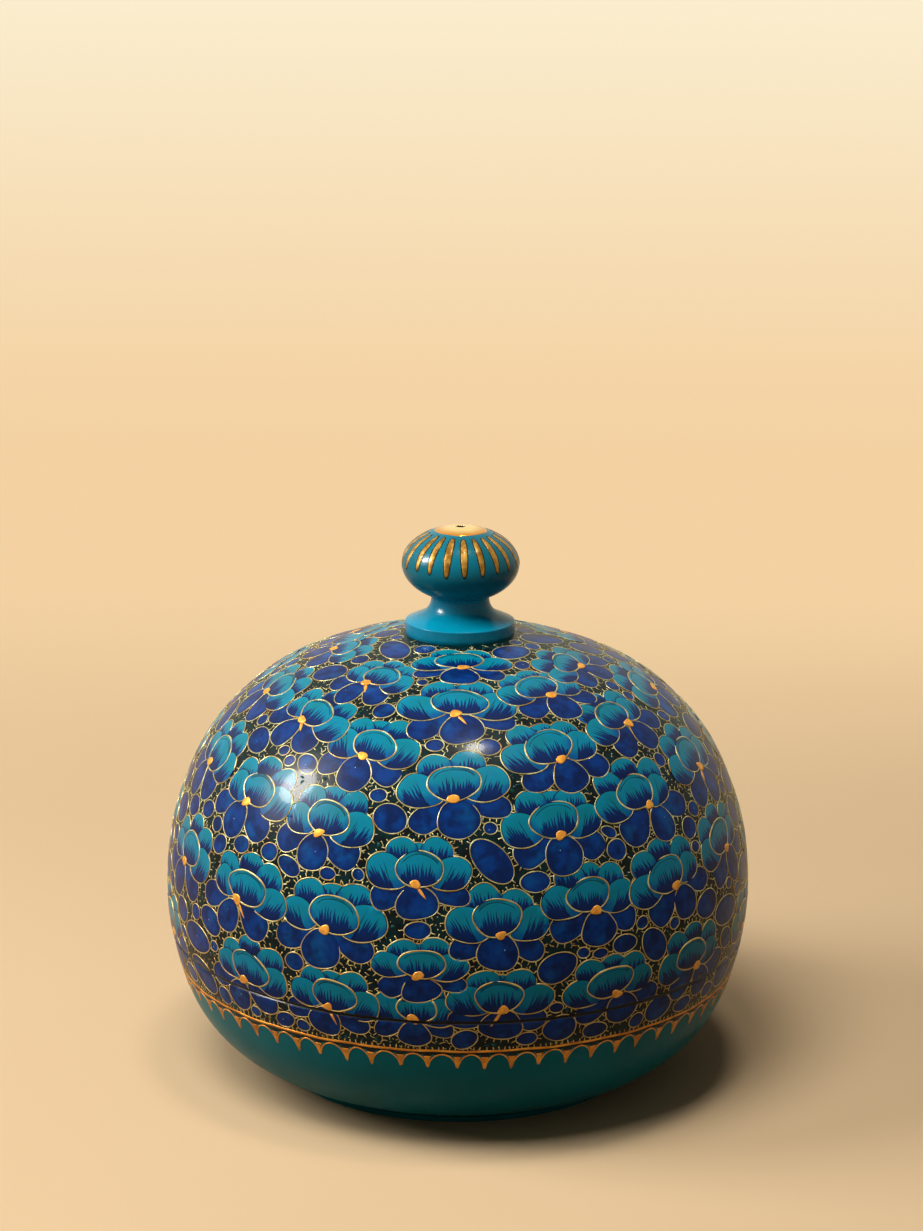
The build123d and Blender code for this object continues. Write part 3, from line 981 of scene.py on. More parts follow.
# How far the tuft of strokes stands outwards of the petal's middle, as a share of the petal's half
TUFT_SHIFT = {"top_left": 0.1, "top_right": 0.1, "side_left": 0.38, "side_right": 0.38}
PETAL_POINTS = 36
PETAL_TURN = 3.5  # usual unevenness of a petal's direction, in degrees
PETAL_SHIFT = 0.18  # usual unevenness of its place
PETAL_SIZES = (0.93, 1.07)
STROKE_FOLLOWS = 0.3  # how far the brush strokes turn from upright towards the petal's own direction
STROKE_PITCH = 0.60
STROKE_FAN = (0.78, 0.40)  # pitches between strokes at the lower edge, and what is added over the breadth
LEAF_LIFT = 0.02  # the lowest petals lie this high over the ground coat
LEVEL_LIFT = 0.024  # from one level of petals to the next
UNDER_LIFT = 0.006  # a petal lies this high where another flower covers it
LINE_RELIEF = 0.026
PETAL_RINGS = (0.3, 0.52, 0.74, 0.9, 1.0)
FLOWER_REACH = 14.5  # no petal goes further than this from its flower's place
LINE_ROOM = 0.15  # a flower keeps this much clear outside its petals, for its line
CUT_HALF = 0.025  # half the gap, of a spoke, between the two rings where a petal goes under a flower


def egg(length, width, taper, points):
    """Outlines (count, points, 2) centred on 0 that point along x: an ellipse of length and width whose
    breadth swells by taper towards the tip and shrinks as much towards the base."""
    turn = np.arange(points) * tau / points
    along = -length[:, None] / 2 * np.cos(turn)
    across = -width[:, None] / 2 * np.sin(turn) * (1 - taper[:, None] * np.cos(turn))
    return np.stack([along, across], -1)


def turn_flat(flat, degrees):
    """Turns flat points (count, points, 2) counter-clockwise, each form by its own angle."""
    angle = np.radians(degrees)[:, None]
    x = flat[..., 0] * np.cos(angle) - flat[..., 1] * np.sin(angle)
    return np.stack([x, flat[..., 0] * np.sin(angle) + flat[..., 1] * np.cos(angle)], -1)


def all_flowers():
    """Distance, azimuth, width, height and lean, from -1 right to 1 left, of every flower. Front ones lean
    towards the middle, and back ones, set out in rows with a painter's unevenness, lean either way."""
    rows = [(d, a, w, h, np.clip(a / FULL_LEAN_AT, -1, 1)) for d, a, w, h in FRONT_FLOWERS]
    for distance, first, count, pitch in BACK_ROWS:
        for azimuth in first + pitch * np.arange(count):
            shift, slide, size, lean = draw.uniform(-1, 1, 4)
            place = (distance + ROW_SHIFT * shift, azimuth + ROW_SLIDE * slide)
            rows.append((*place, BACK_WIDTH + size, BACK_HEIGHT + size, lean))
    return np.array(rows)


flowers = all_flowers()
flower_spots = Spots(flowers[:, 0], flowers[:, 1], draw.normal(0, TILT, len(flowers)))


class Petals:
    """One petal of every flower, between its two templates by the flower's lean and mirrored where that
    leans right, with the unevenness of the hand: flat outlines, centres, and the way its strokes run."""

    def __init__(self, name):
        count = len(flowers)
        self.scale = flowers[:, 2:4] / TEMPLATE_SIZE
        lean = flowers[:, 4]
        straight, leaning = np.array(PETALS[name])
        u, v, direction, length, width = (straight + np.abs(lean)[:, None] * (leaning - straight)).T
        side = np.where(lean < 0, -1, 1)
        self.direction = np.where(lean < 0, 180 - direction, direction) + draw.normal(0, PETAL_TURN, count)
        centres = np.stack([side * u, v], -1) + draw.normal(0, PETAL_SHIFT, (count, 2))
        length = length * draw.uniform(*PETAL_SIZES, count)
        width = width * draw.uniform(*PETAL_SIZES, count)
        outline = egg(length, width, np.full(count, PETAL_TAPER.get(name, 0.05)), PETAL_POINTS)
        turn = np.arange(PETAL_POINTS) * tau / PETAL_POINTS
        wave = 1 + 0.024 * np.sin(3 * turn + draw.uniform(0, tau, (count, 1)))
        wave += 0.014 * np.sin(5 * turn + draw.uniform(0, tau, (count, 1)))
        outline = turn_flat(outline * wave[..., None], self.direction)
        self.outlines = (centres[:, None] + outline) * self.scale[:, None]
        self.centres = centres * self.scale
        self.half = np.stack([length, width], -1)[:, None] / 2
        self.stroke_start = STROKE_START.get(name, 0.0)
        self.tuft_shift = TUFT_SHIFT.get(name, 0.0)
        self.outward = np.where((centres[:, 0] < 0) & (name in TUFT_SHIFT), -1.0, 1.0)
        self.seed = draw.uniform(0, 300, (count, 1))
        self.tuft_slide = draw.uniform(-0.1, 0.1, (count, 1))

    def brush(self, flat):
        """Brush coordinates of flat points: across the strokes, which stand nearly upright on the petal's
        lower edge; along them as a share of the petal's breadth; and how far aside of the tuft's middle,
        from -1 to 1 at the petal's ends. The lower edge is where a line along the stroke leaves the
        petal's ellipse."""
        own = turn_flat((flat - self.centres[:, None]) / self.scale[:, None], -self.direction)
        lean = np.radians((1 - STROKE_FOLLOWS) * (90 - self.direction))[:, None]
        up = np.concatenate([np.cos(lean), np.sin(lean)], 1)[:, None]
        aside = np.concatenate([np.sin(lean), -np.cos(lean)], 1)[:, None]
        rise, offset = (own * up).sum(-1), (own * aside).sum(-1)
        ways = ((up, up), (up, aside), (aside, aside))
        a, b, c = ((first * second / self.half**2).sum(-1) for first, second in ways)
        low = (-b * offset - np.sqrt(np.maximum((b * offset) ** 2 - a * (c * offset**2 - 1), 0))) / a
        share = (rise - low) * np.sqrt(a) / 2
        fan = offset / (STROKE_FAN[0] + STROKE_FAN[1] * share) / STROKE_PITCH
        reach = np.sqrt((self.half**2 * aside**2).sum(-1))
        away = self.outward[:, None] * offset / reach - self.tuft_shift
        away = away / (1 - self.tuft_shift) + self.tuft_slide
        return np.stack([fan + self.seed, (share - self.stroke_start) / (1 - self.stroke_start), away], -1)


petals = {name: Petals(name) for name in PETALS}
flower_rank = len(flowers) - np.argsort(np.argsort(flowers[:, 0]))  # the nearer the seam, the lower


def level_lift(name):
    """How high one petal of every flower lies."""
    return np.full(len(flowers), LEAF_LIFT + LEVEL_LIFT * PETAL_LEVELS[name])


def inside_flat(outlines, centres, flat, margin=0.0):
    """Whether flat points (count, n, 2) lie inside star-shaped outlines about their centres."""
    spokes = outlines - centres[:, None]
    spoke_angle = np.arctan2(spokes[..., 1], spokes[..., 0])
    spoke_length = np.hypot(spokes[..., 0], spokes[..., 1])
    offset = flat - centres[:, None]
    angle = np.arctan2(offset[..., 1], offset[..., 0])
    limit = np.stack([np.interp(a, s, r, period=tau) for a, s, r in zip(angle, spoke_angle, spoke_length)])
    return np.hypot(offset[..., 0], offset[..., 1]) < limit + margin


def inside_flower(i, flat, margin=0.0):
    """Whether flat points (1, n, 2) of one flower lie inside any of its petals, as (n)."""
    inside = np.zeros(flat.shape[1], bool)
    for petal in petals.values():
        inside |= inside_flat(petal.outlines[i : i + 1], petal.centres[i : i + 1], flat, margin)[0]
    return inside


# ---------------------------------------------------------------------------------------------
# Field: a grid over the painted part of the body, and how far each cell is from what is painted
# ---------------------------------------------------------------------------------------------
FIELD_STEP = 0.33
FIELD_COLUMNS = 1142
FIELD_EDGE = 0.4  # the field keeps this far off the flange and the border's line
FIELD_EDGE_ROOM = 0.25  # clearance that its outermost cells still have
FLOWER_MARGIN = 1.5  # cells are looked at this far beyond a flower's reach
NEAREST_POLE = 6.0  # columns are not reckoned narrower than at this distance
SPREAD_STEPS = 60  # cells over which the clearance spreads
FAR = 99.0

field_distance = np.arange(FLANGE_RADIUS + FIELD_EDGE, BORDER_AT - FIELD_EDGE, FIELD_STEP)
field_azimuth = np.arange(FIELD_COLUMNS) * 360 / FIELD_COLUMNS - 180
field_across = outline_at(field_distance)[0]
field_points = Spots(
    np.repeat(field_distance, FIELD_COLUMNS), np.tile(field_azimuth, len(field_distance))
).origin.reshape(len(field_distance), FIELD_COLUMNS, 3)


def near(distance, azimuth, reach):
    """Rows and columns of the field within reach of a place on the body. The columns are as many as the
    reach takes where they are narrowest, on the side of the pole."""
    row = int((distance - field_distance[0]) / FIELD_STEP)
    span = int(reach / FIELD_STEP)
    rows = np.arange(max(0, row - span), min(len(field_distance), row + span + 2))
    step = outline_at(max(distance - reach, NEAREST_POLE))[0] * tau / FIELD_COLUMNS
    half = min(FIELD_COLUMNS // 2, int(reach / step) + 1)
    column = int(round((azimuth + 180) * FIELD_COLUMNS / 360))
    return np.ix_(rows, (column + np.arange(-half, half)) % FIELD_COLUMNS)


def cell_of(points):
    """Row and column of the field's cell at points on the body, and whether the field reaches there."""
    distance, azimuth = locate(points)
    row = np.round((distance - field_distance[0]) / FIELD_STEP).astype(int)
    column = np.round((azimuth + 180) * FIELD_COLUMNS / 360).astype(int) % FIELD_COLUMNS
    there = (row >= 0) & (row < len(field_distance))
    return np.clip(row, 0, len(field_distance) - 1), column, there


def cells_under_flowers():
    """Whether a flower covers each cell."""
    covered = np.zeros(field_points.shape[:2], bool)
    for i, (distance, azimuth) in enumerate(flowers[:, :2]):
        cells = near(distance, azimuth, FLOWER_REACH + FLOWER_MARGIN)
        offset = field_points[cells] - flower_spots.origin[i]
        flat = np.stack([offset @ flower_spots.right[i], offset @ flower_spots.up[i]], -1)
        covered[cells] |= inside_flower(i, flat.reshape(1, -1, 2)).reshape(offset.shape[:2])
    return covered


def spread_clearance(blocked):
    """Distance from each cell to the nearest blocked one: in each step a cell takes the least of its own and
    each neighbour's distance plus the way to that neighbour. A row beyond each end keeps the field's top
    from its bottom, since it is rolled."""
    clear = np.pad(np.where(blocked, 0.0, FAR), ((1, 1), (0, 0)), constant_values=FAR)
    across = np.pad(field_across, 1, mode="edge")[:, None] * tau / FIELD_COLUMNS
    diagonal = np.hypot(across, FIELD_STEP)
    steps = [(1, 0, FIELD_STEP), (0, 1, across), (1, 1, diagonal), (1, -1, diagonal)]
    for _ in range(SPREAD_STEPS):
        for down, along, length in steps:
            for way in (1, -1):
                np.minimum(clear, np.roll(clear, (way * down, way * along), (0, 1)) + length, out=clear)
        clear[0] = clear[-1] = FAR
    return clear[1:-1]


def free_at(points):
    """The clearance at points on the body, and none beyond the field."""
    row, column, there = cell_of(points)
    return np.where(there, free[row, column], 0.0)


def claim(distance, azimuth, middle, radius, reach):
    """Takes a circle round a point of the body out of what is free, within reach of a place near it."""
    cells = near(distance, azimuth, reach)
    away = np.linalg.norm(field_points[cells] - middle, axis=-1) - radius
    free[cells] = np.minimum(free[cells], away)


edge_room = np.minimum(field_distance - field_distance[0], field_distance[-1] - field_distance)
free = np.minimum(spread_clearance(cells_under_flowers()), edge_room[:, None] + FIELD_EDGE_ROOM)

# ---------------------------------------------------------------------------------------------
# Petals, their gold lines and the flowers' hearts
# ---------------------------------------------------------------------------------------------
TEAL_PETALS = ["top", "top_left", "top_right", "side_right", "side_left", "front"]
COBALT_PETALS = ["low_left", "low_right", "low_middle"]
SNAP_STEPS = 12  # places tried between two points of an outline
SNAP_HALF = 0.06  # half the gap, of a step, between the two points at the place where it goes under
SPOKE_STEPS = 32  # places tried along a petal's spoke
# A cut takes the two innermost rings up to the first of these shares of a spoke, the next two up to the
# second, and beyond it the two after those
RING_CHOICE = (0.40, 0.63)
SPOKE_ENDS = (0.004, 0.996)  # no cut moves a ring beyond these shares
NO_FOLD = -9.0
LINE_INSIDE = -0.15  # a line goes under a petal of its own flower this far inside that petal's edge
LINE_UNEVENNESS = 0.16
THIN_END = 0.45  # width that a line keeps where the brush is lifted, as a share
THICKENING = 1.6  # how fast that share grows again with each radian further on
LINE_EDGE = 0.02  # a line's inner side ends this far under the top of its petal
# Chance that the brush was lifted, where on the outline in radians, and how far that place may shift
LIFTED_BRUSH = {"front": (0.45, 3.5, 0.25), "low_middle": (0.3, 0.0, 0.9)}
LIFTED_BRUSH_ELSEWHERE = (0.6, 0.0, 3.1)
LIFTED_HALF = (0.12, 0.34)
HEART_POINTS = 14
TAIL_CHANCE = 0.22
TAIL_POINTS = 12


def join(parts):
    """Joins the arrays of several batches of like forms."""
    return [np.concatenate(arrays) for arrays in zip(*parts)]


def overlaid(flat):
    """Whether flat points (flowers, n, 2) of every flower lie under another flower or on its outer line."""
    points = flower_spots.surface(flat, np.zeros(flat.shape[:2]))
    under = np.zeros(flat.shape[:2], bool)
    for i, rank in enumerate(flower_rank):
        offset = np.linalg.norm(points - flower_spots.origin[i], axis=-1)
        close = (offset < FLOWER_REACH) & (flower_rank[:, None] < rank)
        if close.any():
            there = flower_spots.take([i]).flat_at(points[close][None])
            under[close] |= inside_flower(i, there, LINE_ROOM)
    return under


def snap(paths, hidden_at):
    """Moves the two points of a closed path between which it goes under something close to that place,
    which is found by trying places at even steps between them."""
    hidden = hidden_at(paths)
    step = np.roll(paths, -1, 1) - paths
    share = (np.arange(SNAP_STEPS) + 0.5) / SNAP_STEPS
    between = paths[:, :, None] + share[:, None] * step[:, :, None]
    same = hidden_at(between.reshape(len(paths), -1, 2)).reshape(*hidden.shape, -1) == hidden[..., None]
    at = np.cumprod(same, -1).sum(-1)[..., None] / SNAP_STEPS
    changes = (hidden != np.roll(hidden, -1, 1))[..., None]
    before = paths + np.clip(at - SNAP_HALF, 0, 1) * step
    after = paths + np.clip(at + SNAP_HALF, 0, 1) * step
    moved = np.where(changes, before, paths)
    return np.where(np.roll(changes, 1, 1), np.roll(after, 1, 1), moved)


def rings_at_cover(outlines, centres):
    """The rings of petals as (flowers, rings, points), and which of them make a cut: where a spoke goes
    under another flower, or comes out from under it, two rings stand close to that place."""
    share = np.arange(SPOKE_STEPS + 1) / SPOKE_STEPS
    flat = centres[:, None, None] + share[:, None] * (outlines - centres[:, None])[:, :, None]
    state = overlaid(flat.reshape(len(flat), -1, 2)).reshape(flat.shape[:3])
    change = state[..., 1:] != state[..., :-1]
    at = (change.argmax(-1) + 0.5) / SPOKE_STEPS
    lower = np.searchsorted(RING_CHOICE, at)
    rings = np.repeat(np.broadcast_to(PETAL_RINGS, (len(flat), 1, len(PETAL_RINGS))), PETAL_POINTS, 1)
    cut = np.zeros(rings.shape, bool)
    for k in range(len(RING_CHOICE) + 1):
        here = change.any(-1) & (lower == k)
        rings[here, k] = np.maximum(at[here] - CUT_HALF, SPOKE_ENDS[0])
        rings[here, k + 1] = np.minimum(at[here] + CUT_HALF, SPOKE_ENDS[1])
        cut[here, k : k + 2] = True
    return rings.transpose(0, 2, 1), cut.transpose(0, 2, 1)


def per_point(centre, rings, foot):
    """A value for each point of patches, in their order: one for both centres, the rings' own as (count,
    rings, points), and one for the skirt's foot."""
    count, _, points = rings.shape
    middle = np.full((count, 1), centre)
    return np.concatenate([middle, rings.reshape(count, -1), np.full((count, points), foot), middle], 1)


def paint_petals(names, coat, title):
    """Lays the named petals of every flower as one coat. What another flower covers lies lower."""
    batches = []
    for name in names:
        petal = petals[name]
        rings, cut = rings_at_cover(petal.outlines, petal.centres)
        cut[:, -1] = True
        flat, lifts = patches(petal.outlines, petal.centres, rings, level_lift(name))
        lifts = np.where(overlaid(flat) & (lifts > 0), UNDER_LIFT, lifts)
        brush = petal.brush(flat)
        fold = -brush[..., 2] if name.startswith("side") else np.full(lifts.shape, NO_FOLD)
        front = np.full(lifts.shape, float(name == "front"))
        rim, crease = per_point(0.0, rings, 1.0), per_point(False, cut, False)
        batches.append([flower_spots.surface(flat, lifts), brush, fold, front, rim, crease])
    points, brush, fold, front, rim, crease = join(batches)
    values = {"rim": rim, "front": front, "fold": fold, "aside": brush[..., 2]}
    lay(title, coat, points, patch_faces(len(PETAL_RINGS), PETAL_POINTS), crease, brush[..., :2], values)


def line_width(count, points, width):
    """Widths along hand-drawn lines: two slow waves about the width, different on each line."""
    turn = np.arange(points) * tau / points
    wave = np.sin(2 * turn + draw.uniform(0, tau, (count, 1)))
    wave = wave + np.sin(5 * turn + draw.uniform(0, tau, (count, 1)))
    return width * (1 + LINE_UNEVENNESS * wave)


def brush_lifted(name, count):
    """How far each point of every outline is, in radians of its turn, from the stretch where the painter
    lifted the brush; far away where there is none."""
    chance, middle, spread = LIFTED_BRUSH.get(name, LIFTED_BRUSH_ELSEWHERE)
    middle = middle + draw.uniform(-spread, spread, (count, 1))
    half = draw.uniform(*LIFTED_HALF, (count, 1))
    turn = np.arange(PETAL_POINTS) * tau / PETAL_POINTS
    away = np.abs((turn - middle + pi) % tau - pi) - half
    return np.where(draw.random((count, 1)) < chance, away, pi)


def draw_outlines(names, title, width, relief=LINE_RELIEF):
    """Gold lines along the edges of the named petals. A line dives under the paint where a petal lies over
    it, where the brush was lifted, and a teal petal's also where it would run over another teal petal."""
    batches = []
    for name in names:
        rivals = TEAL_PETALS[:-1] if name in TEAL_PETALS[:-1] else []
        over = [
            petals[other]
            for other in petals
            if other != name and (other in rivals or PETAL_LEVELS[other] > PETAL_LEVELS[name])
        ]

        def hidden_at(flat):
            hidden = overlaid(flat)
            for petal in over:
                hidden |= inside_flat(petal.outlines, petal.centres, flat, LINE_INSIDE)
            return hidden

        outlines = snap(petals[name].outlines, hidden_at)
        lift = np.repeat(level_lift(name)[:, None], PETAL_POINTS, 1)
        lifted = brush_lifted(name, len(outlines))
        top = np.where(hidden_at(outlines) | (lifted < 0), BURIED / 2, lift + relief)
        widths = line_width(len(outlines), PETAL_POINTS, width)
        widths = widths * np.clip(THIN_END + lifted * THICKENING, THIN_END, 1)
        flat, lifts = ribbons(outlines, widths, top, np.minimum(top, lift - LINE_EDGE))
        batches.append([flower_spots.surface(flat, lifts)])
    (points,) = join(batches)
    lay(title, "gold", points, ribbon_faces(PETAL_POINTS, True))


def heart_dots():
    """The orange dot in the heart of each flower, a low uneven dome."""
    count, points = len(flowers), HEART_POINTS
    length, width = draw.uniform(2.1, 2.6, count), draw.uniform(1.5, 1.9, count)
    outlines = egg(length, width, draw.uniform(-0.3, 0.3, count), points)
    bumps = 1 + 0.10 * np.sin(3 * np.arange(points) * tau / points + draw.uniform(0, tau, (count, 1)))
    outlines = turn_flat(outlines * bumps[..., None], draw.uniform(-35, 35, count))
    rings, lift = (0.45, 0.8, 1.0), level_lift("front") + 0.03
    flat, lifts = patches(outlines, np.zeros((count, 2)), rings, lift, 0.05)
    lay("flower_hearts", "orange", flower_spots.surface(flat, lifts), patch_faces(len(rings), points))


def heart_tails():
    """A flame-shaped gold stroke that runs down from some hearts between the blue petals."""
    which = np.flatnonzero(draw.random(len(flowers)) < TAIL_CHANCE)
    count, points = len(which), TAIL_POINTS
    side = np.where(flowers[which, 4] < 0, 1, -1)
    length = draw.uniform(2.4, 3.6, count)
    outlines = egg(length, draw.uniform(0.5, 0.75, count), np.full(count, -0.5), points)
    lean = -90 + side * draw.uniform(18, 42, count)
    way = np.stack([np.cos(np.radians(lean)), np.sin(np.radians(lean))], -1)
    middle = (0.7 + length / 2)[:, None] * way
    rings, lift = (0.5, 1.0), level_lift("low_middle")[which] + 0.02
    flat, lifts = patches(turn_flat(outlines, lean) + middle[:, None], middle, rings, lift, 0.04)
    spots = flower_spots.take(which)
    lay("heart_tails", "orange", spots.surface(flat, lifts), patch_faces(len(rings), points))


for petal in petals.values():
    petal.outlines = snap(petal.outlines, overlaid)
paint_petals(TEAL_PETALS, "teal", "teal_petals")
paint_petals(COBALT_PETALS, "cobalt", "cobalt_petals")
draw_outlines(TEAL_PETALS[:-1], "teal_petal_lines", 0.27)
draw_outlines(COBALT_PETALS, "cobalt_petal_lines", 0.25)
draw_outlines(["front"], "front_petal_rings", 0.36, 0.035)
heart_dots()
heart_tails()

# ---------------------------------------------------------------------------------------------
# Ground between the flowers: buds, then ticks, leaves, bent strokes, dots, and pale dots that are painted
# glints
# ---------------------------------------------------------------------------------------------
BUD_GAP = 0.54  # clearance between a bud and what is round it
BUD_POINTS = 28
BUD_RINGS = (0.4, 0.75, 1.0)
BUD_LINE = 0.25
LARGEST_BUD = 3.0
SMALLEST_BUD = 1.05
BUD_STRETCH = (0.08, 0.75)  # least and most that a bud is longer than it is wide
BUD_WAYS = np.array([0.0, 25, -25, 50, -50, 90])  # directions that it may point in, in degrees
LEVEL_BUDS = 0.012  # room that a bud gives up to lie one degree nearer the level
BUD_REACH = 9.0  # no bud takes room further than this from its place
TICK_PITCH = 1.30
TICK_REACH = np.array([0.36, 0.52, 0.70])  # how far out a tick may go, tried in turn
TICK_ROOM = 0.28  # clearance that a tick needs where it starts, also from other ticks
TICK_END_ROOM = 0.12
TICK_CLAIMS = (0.22, 0.18)  # radius of the room that it takes where it starts and where it ends
TICK_FIELD = 1.6
GRAIN_PITCH = 0.8
LEAF_ROOM = 0.60
LEAF_CHANCE = 0.25
SQUIGGLE_ROOM = 0.42
SQUIGGLE_CHANCE = 0.22
SQUIGGLE_POINTS = 6
DOT_ROOM = 0.24
DOT_DRAW = 0.85  # a dot is painted where the number drawn is above this
PETAL_GLINT_CHANCE = 0.35
BUD_GLINT_CHANCE = 0.25


def place_buds():
    """Fills the gaps with oval buds, the widest gap first: each takes the circle that fits there and
    stretches along the way that has most room, level ones first. Gives distance, azimuth, direction and
    half sizes."""
    placed = []
    ways = np.stack([np.cos(np.radians(BUD_WAYS)), np.sin(np.radians(BUD_WAYS))], -1)
    while True:
        row, column = np.unravel_index(free.argmax(), free.shape)
        radius = min(free[row, column] - BUD_GAP, LARGEST_BUD)
        if radius < SMALLEST_BUD:
            return np.array(placed)
        distance, azimuth = field_distance[row], field_azimuth[column]
        spot = Spots(np.array([distance]), np.array([azimuth]))
        ends = np.stack([ways * radius, -ways * radius])
        room = free_at(spot.surface(ends.reshape(1, -1, 2), np.zeros((1, len(ways) * 2))))
        room = room.reshape(2, -1).min(0)
        best = np.argmax(room - LEVEL_BUDS * np.abs(BUD_WAYS))
        stretch = 1 + float(np.clip((room[best] - BUD_GAP) / radius, *BUD_STRETCH))
        placed.append((distance, azimuth, BUD_WAYS[best], radius * stretch, radius))
        middles = np.array([[-1], [0], [1]]) * ends[0, best] * (stretch - 1)
        for middle in spot.surface(middles[None], np.zeros((1, 3)))[0]:
            claim(distance, azimuth, middle, radius, BUD_REACH)


def bud_outlines():
    """Outlines of the buds, slightly uneven ovals."""
    outline = egg(2 * buds[:, 3], 2 * buds[:, 4], draw.uniform(-0.12, 0.12, len(buds)), BUD_POINTS)
    turn = np.arange(BUD_POINTS) * tau / BUD_POINTS
    wave = 1 + 0.03 * np.sin(2 * turn + draw.uniform(0, tau, (len(buds), 1)))
    return turn_flat(outline * wave[..., None], buds[:, 2])


def paint_buds(outlines):
    """Cobalt buds with gold lines round them, every second one a little higher."""
    lift = LEAF_LIFT + 0.01 * (np.arange(len(buds)) % 2)
    flat, lifts = patches(outlines, np.zeros((len(buds), 2)), BUD_RINGS, lift)
    points = bud_spots.surface(flat, lifts)
    rings = np.broadcast_to(np.array(BUD_RINGS)[:, None], (len(buds), len(BUD_RINGS), BUD_POINTS))
    crease = per_point(False, rings == 1, False)
    values = {"rim": per_point(0.0, rings, 1.0)}
    lay("buds", "cobalt", points, patch_faces(len(BUD_RINGS), BUD_POINTS), crease, None, values)
    top = np.repeat(lift[:, None] + LINE_RELIEF + 0.01, BUD_POINTS, 1)
    flat, lifts = ribbons(outlines, line_width(len(buds), BUD_POINTS, BUD_LINE), top, top - 0.05)
    lay("bud_lines", "gold", bud_spots.surface(flat, lifts), ribbon_faces(BUD_POINTS, True))


def ticks_round(spots, outlines):
    """Short bars that stand square on outlines at even steps, and reach as far out as the ground beside
    them is free, with their spots."""
    owners, shapes = [], []
    for i, outline in enumerate(outlines):
        closed = np.concatenate([outline, outline[:1]])
        length = np.concatenate([[0], np.cumsum(np.linalg.norm(np.diff(closed, axis=0), axis=1))])
        at = np.arange(draw.uniform(0, TICK_PITCH), length[-1] - TICK_PITCH / 2, TICK_PITCH)
        foot = np.stack([np.interp(at, length, closed[:, k]) for k in (0, 1)], -1)
        ahead = np.stack([np.interp(at + 0.2, length, closed[:, k]) for k in (0, 1)], -1) - foot
        ahead /= np.maximum(np.linalg.norm(ahead, axis=1, keepdims=True), 1e-6)
        out = np.stack([ahead[:, 1], -ahead[:, 0]], -1) + draw.normal(0, 0.13, (len(at), 2))
        owners.append(np.full(len(at), i))
        shapes.append(np.stack([foot, ahead, out], 1))
    owners, shapes = np.concatenate(owners), np.concatenate(shapes)
    foot, ahead, out = shapes[:, 0], shapes[:, 1], shapes[:, 2]
    tries = foot[:, None] + out[:, None] * TICK_REACH[:, None]
    places = spots.take(owners).surface(tries, np.zeros(tries.shape[:2]))
    open_steps = np.cumprod(free_at(places) > TICK_END_ROOM, axis=1).sum(1)
    reach = TICK_REACH[np.maximum(open_steps, 1) - 1] * draw.uniform(0.88, 1.0, len(owners)) + 0.22
    keep = np.zeros(len(owners), bool)
    distance, azimuth = locate(places[:, 0])
    for k in np.flatnonzero(open_steps > 0):
        if free_at(places[k, 0]) > TICK_ROOM:
            keep[k] = True
            claim(distance[k], azimuth[k], places[k, 0], TICK_CLAIMS[0], TICK_FIELD)
            claim(distance[k], azimuth[k], places[k, open_steps[k] - 1], TICK_CLAIMS[1], TICK_FIELD)
    foot, ahead, out, reach = foot[keep], ahead[keep], out[keep], reach[keep, None]
    half = draw.uniform(0.09, 0.14, (len(foot), 1))
    tip = foot + out * reach
    corners = [foot + ahead * half, tip + ahead * half * 0.7, tip - ahead * half * 0.7, foot - ahead * half]
    return spots.take(owners[keep]), np.stack(corners, 1)


def paint_ticks():
    """Gold ticks fringe every flower and bud on the ground side."""
    for title, spots, outlines in (
        ("petal_ticks", flower_spots, [petals[name].outlines for name in PETALS if name != "front"]),
        ("bud_ticks", bud_spots, [bud_shapes]),
    ):
        batches = []
        for shapes in outlines:
            tick_spots, ticks = ticks_round(spots, shapes)
            centres = ticks.mean(1)
            flat, lifts = patches(ticks, centres, (1.0,), np.full(len(ticks), 0.012), 0.03)
            batches.append([tick_spots.surface(flat, lifts)])
        (points,) = join(batches)
        lay(title, "gold", points, patch_faces(1, 4))


def bent_strokes(room):
    """Paths (count, points, 2) of short gold strokes, as long as the room allows: a parabola's bow and a
    sine's hook, of any two strengths, bend each like a C or an S."""
    count = len(room)
    share = np.linspace(-1, 1, SQUIGGLE_POINTS)
    half = np.clip(room * 1.15, 0.36, 0.75)[:, None, None]
    bow = draw.uniform(-0.55, 0.55, (count, 1)) * (1 - share**2)
    hook = draw.uniform(-0.35, 0.35, (count, 1)) * np.sin(pi * share)
    return turn_flat(np.stack([share + 0 * bow, bow + hook], -1) * half, draw.uniform(0, 360, count))


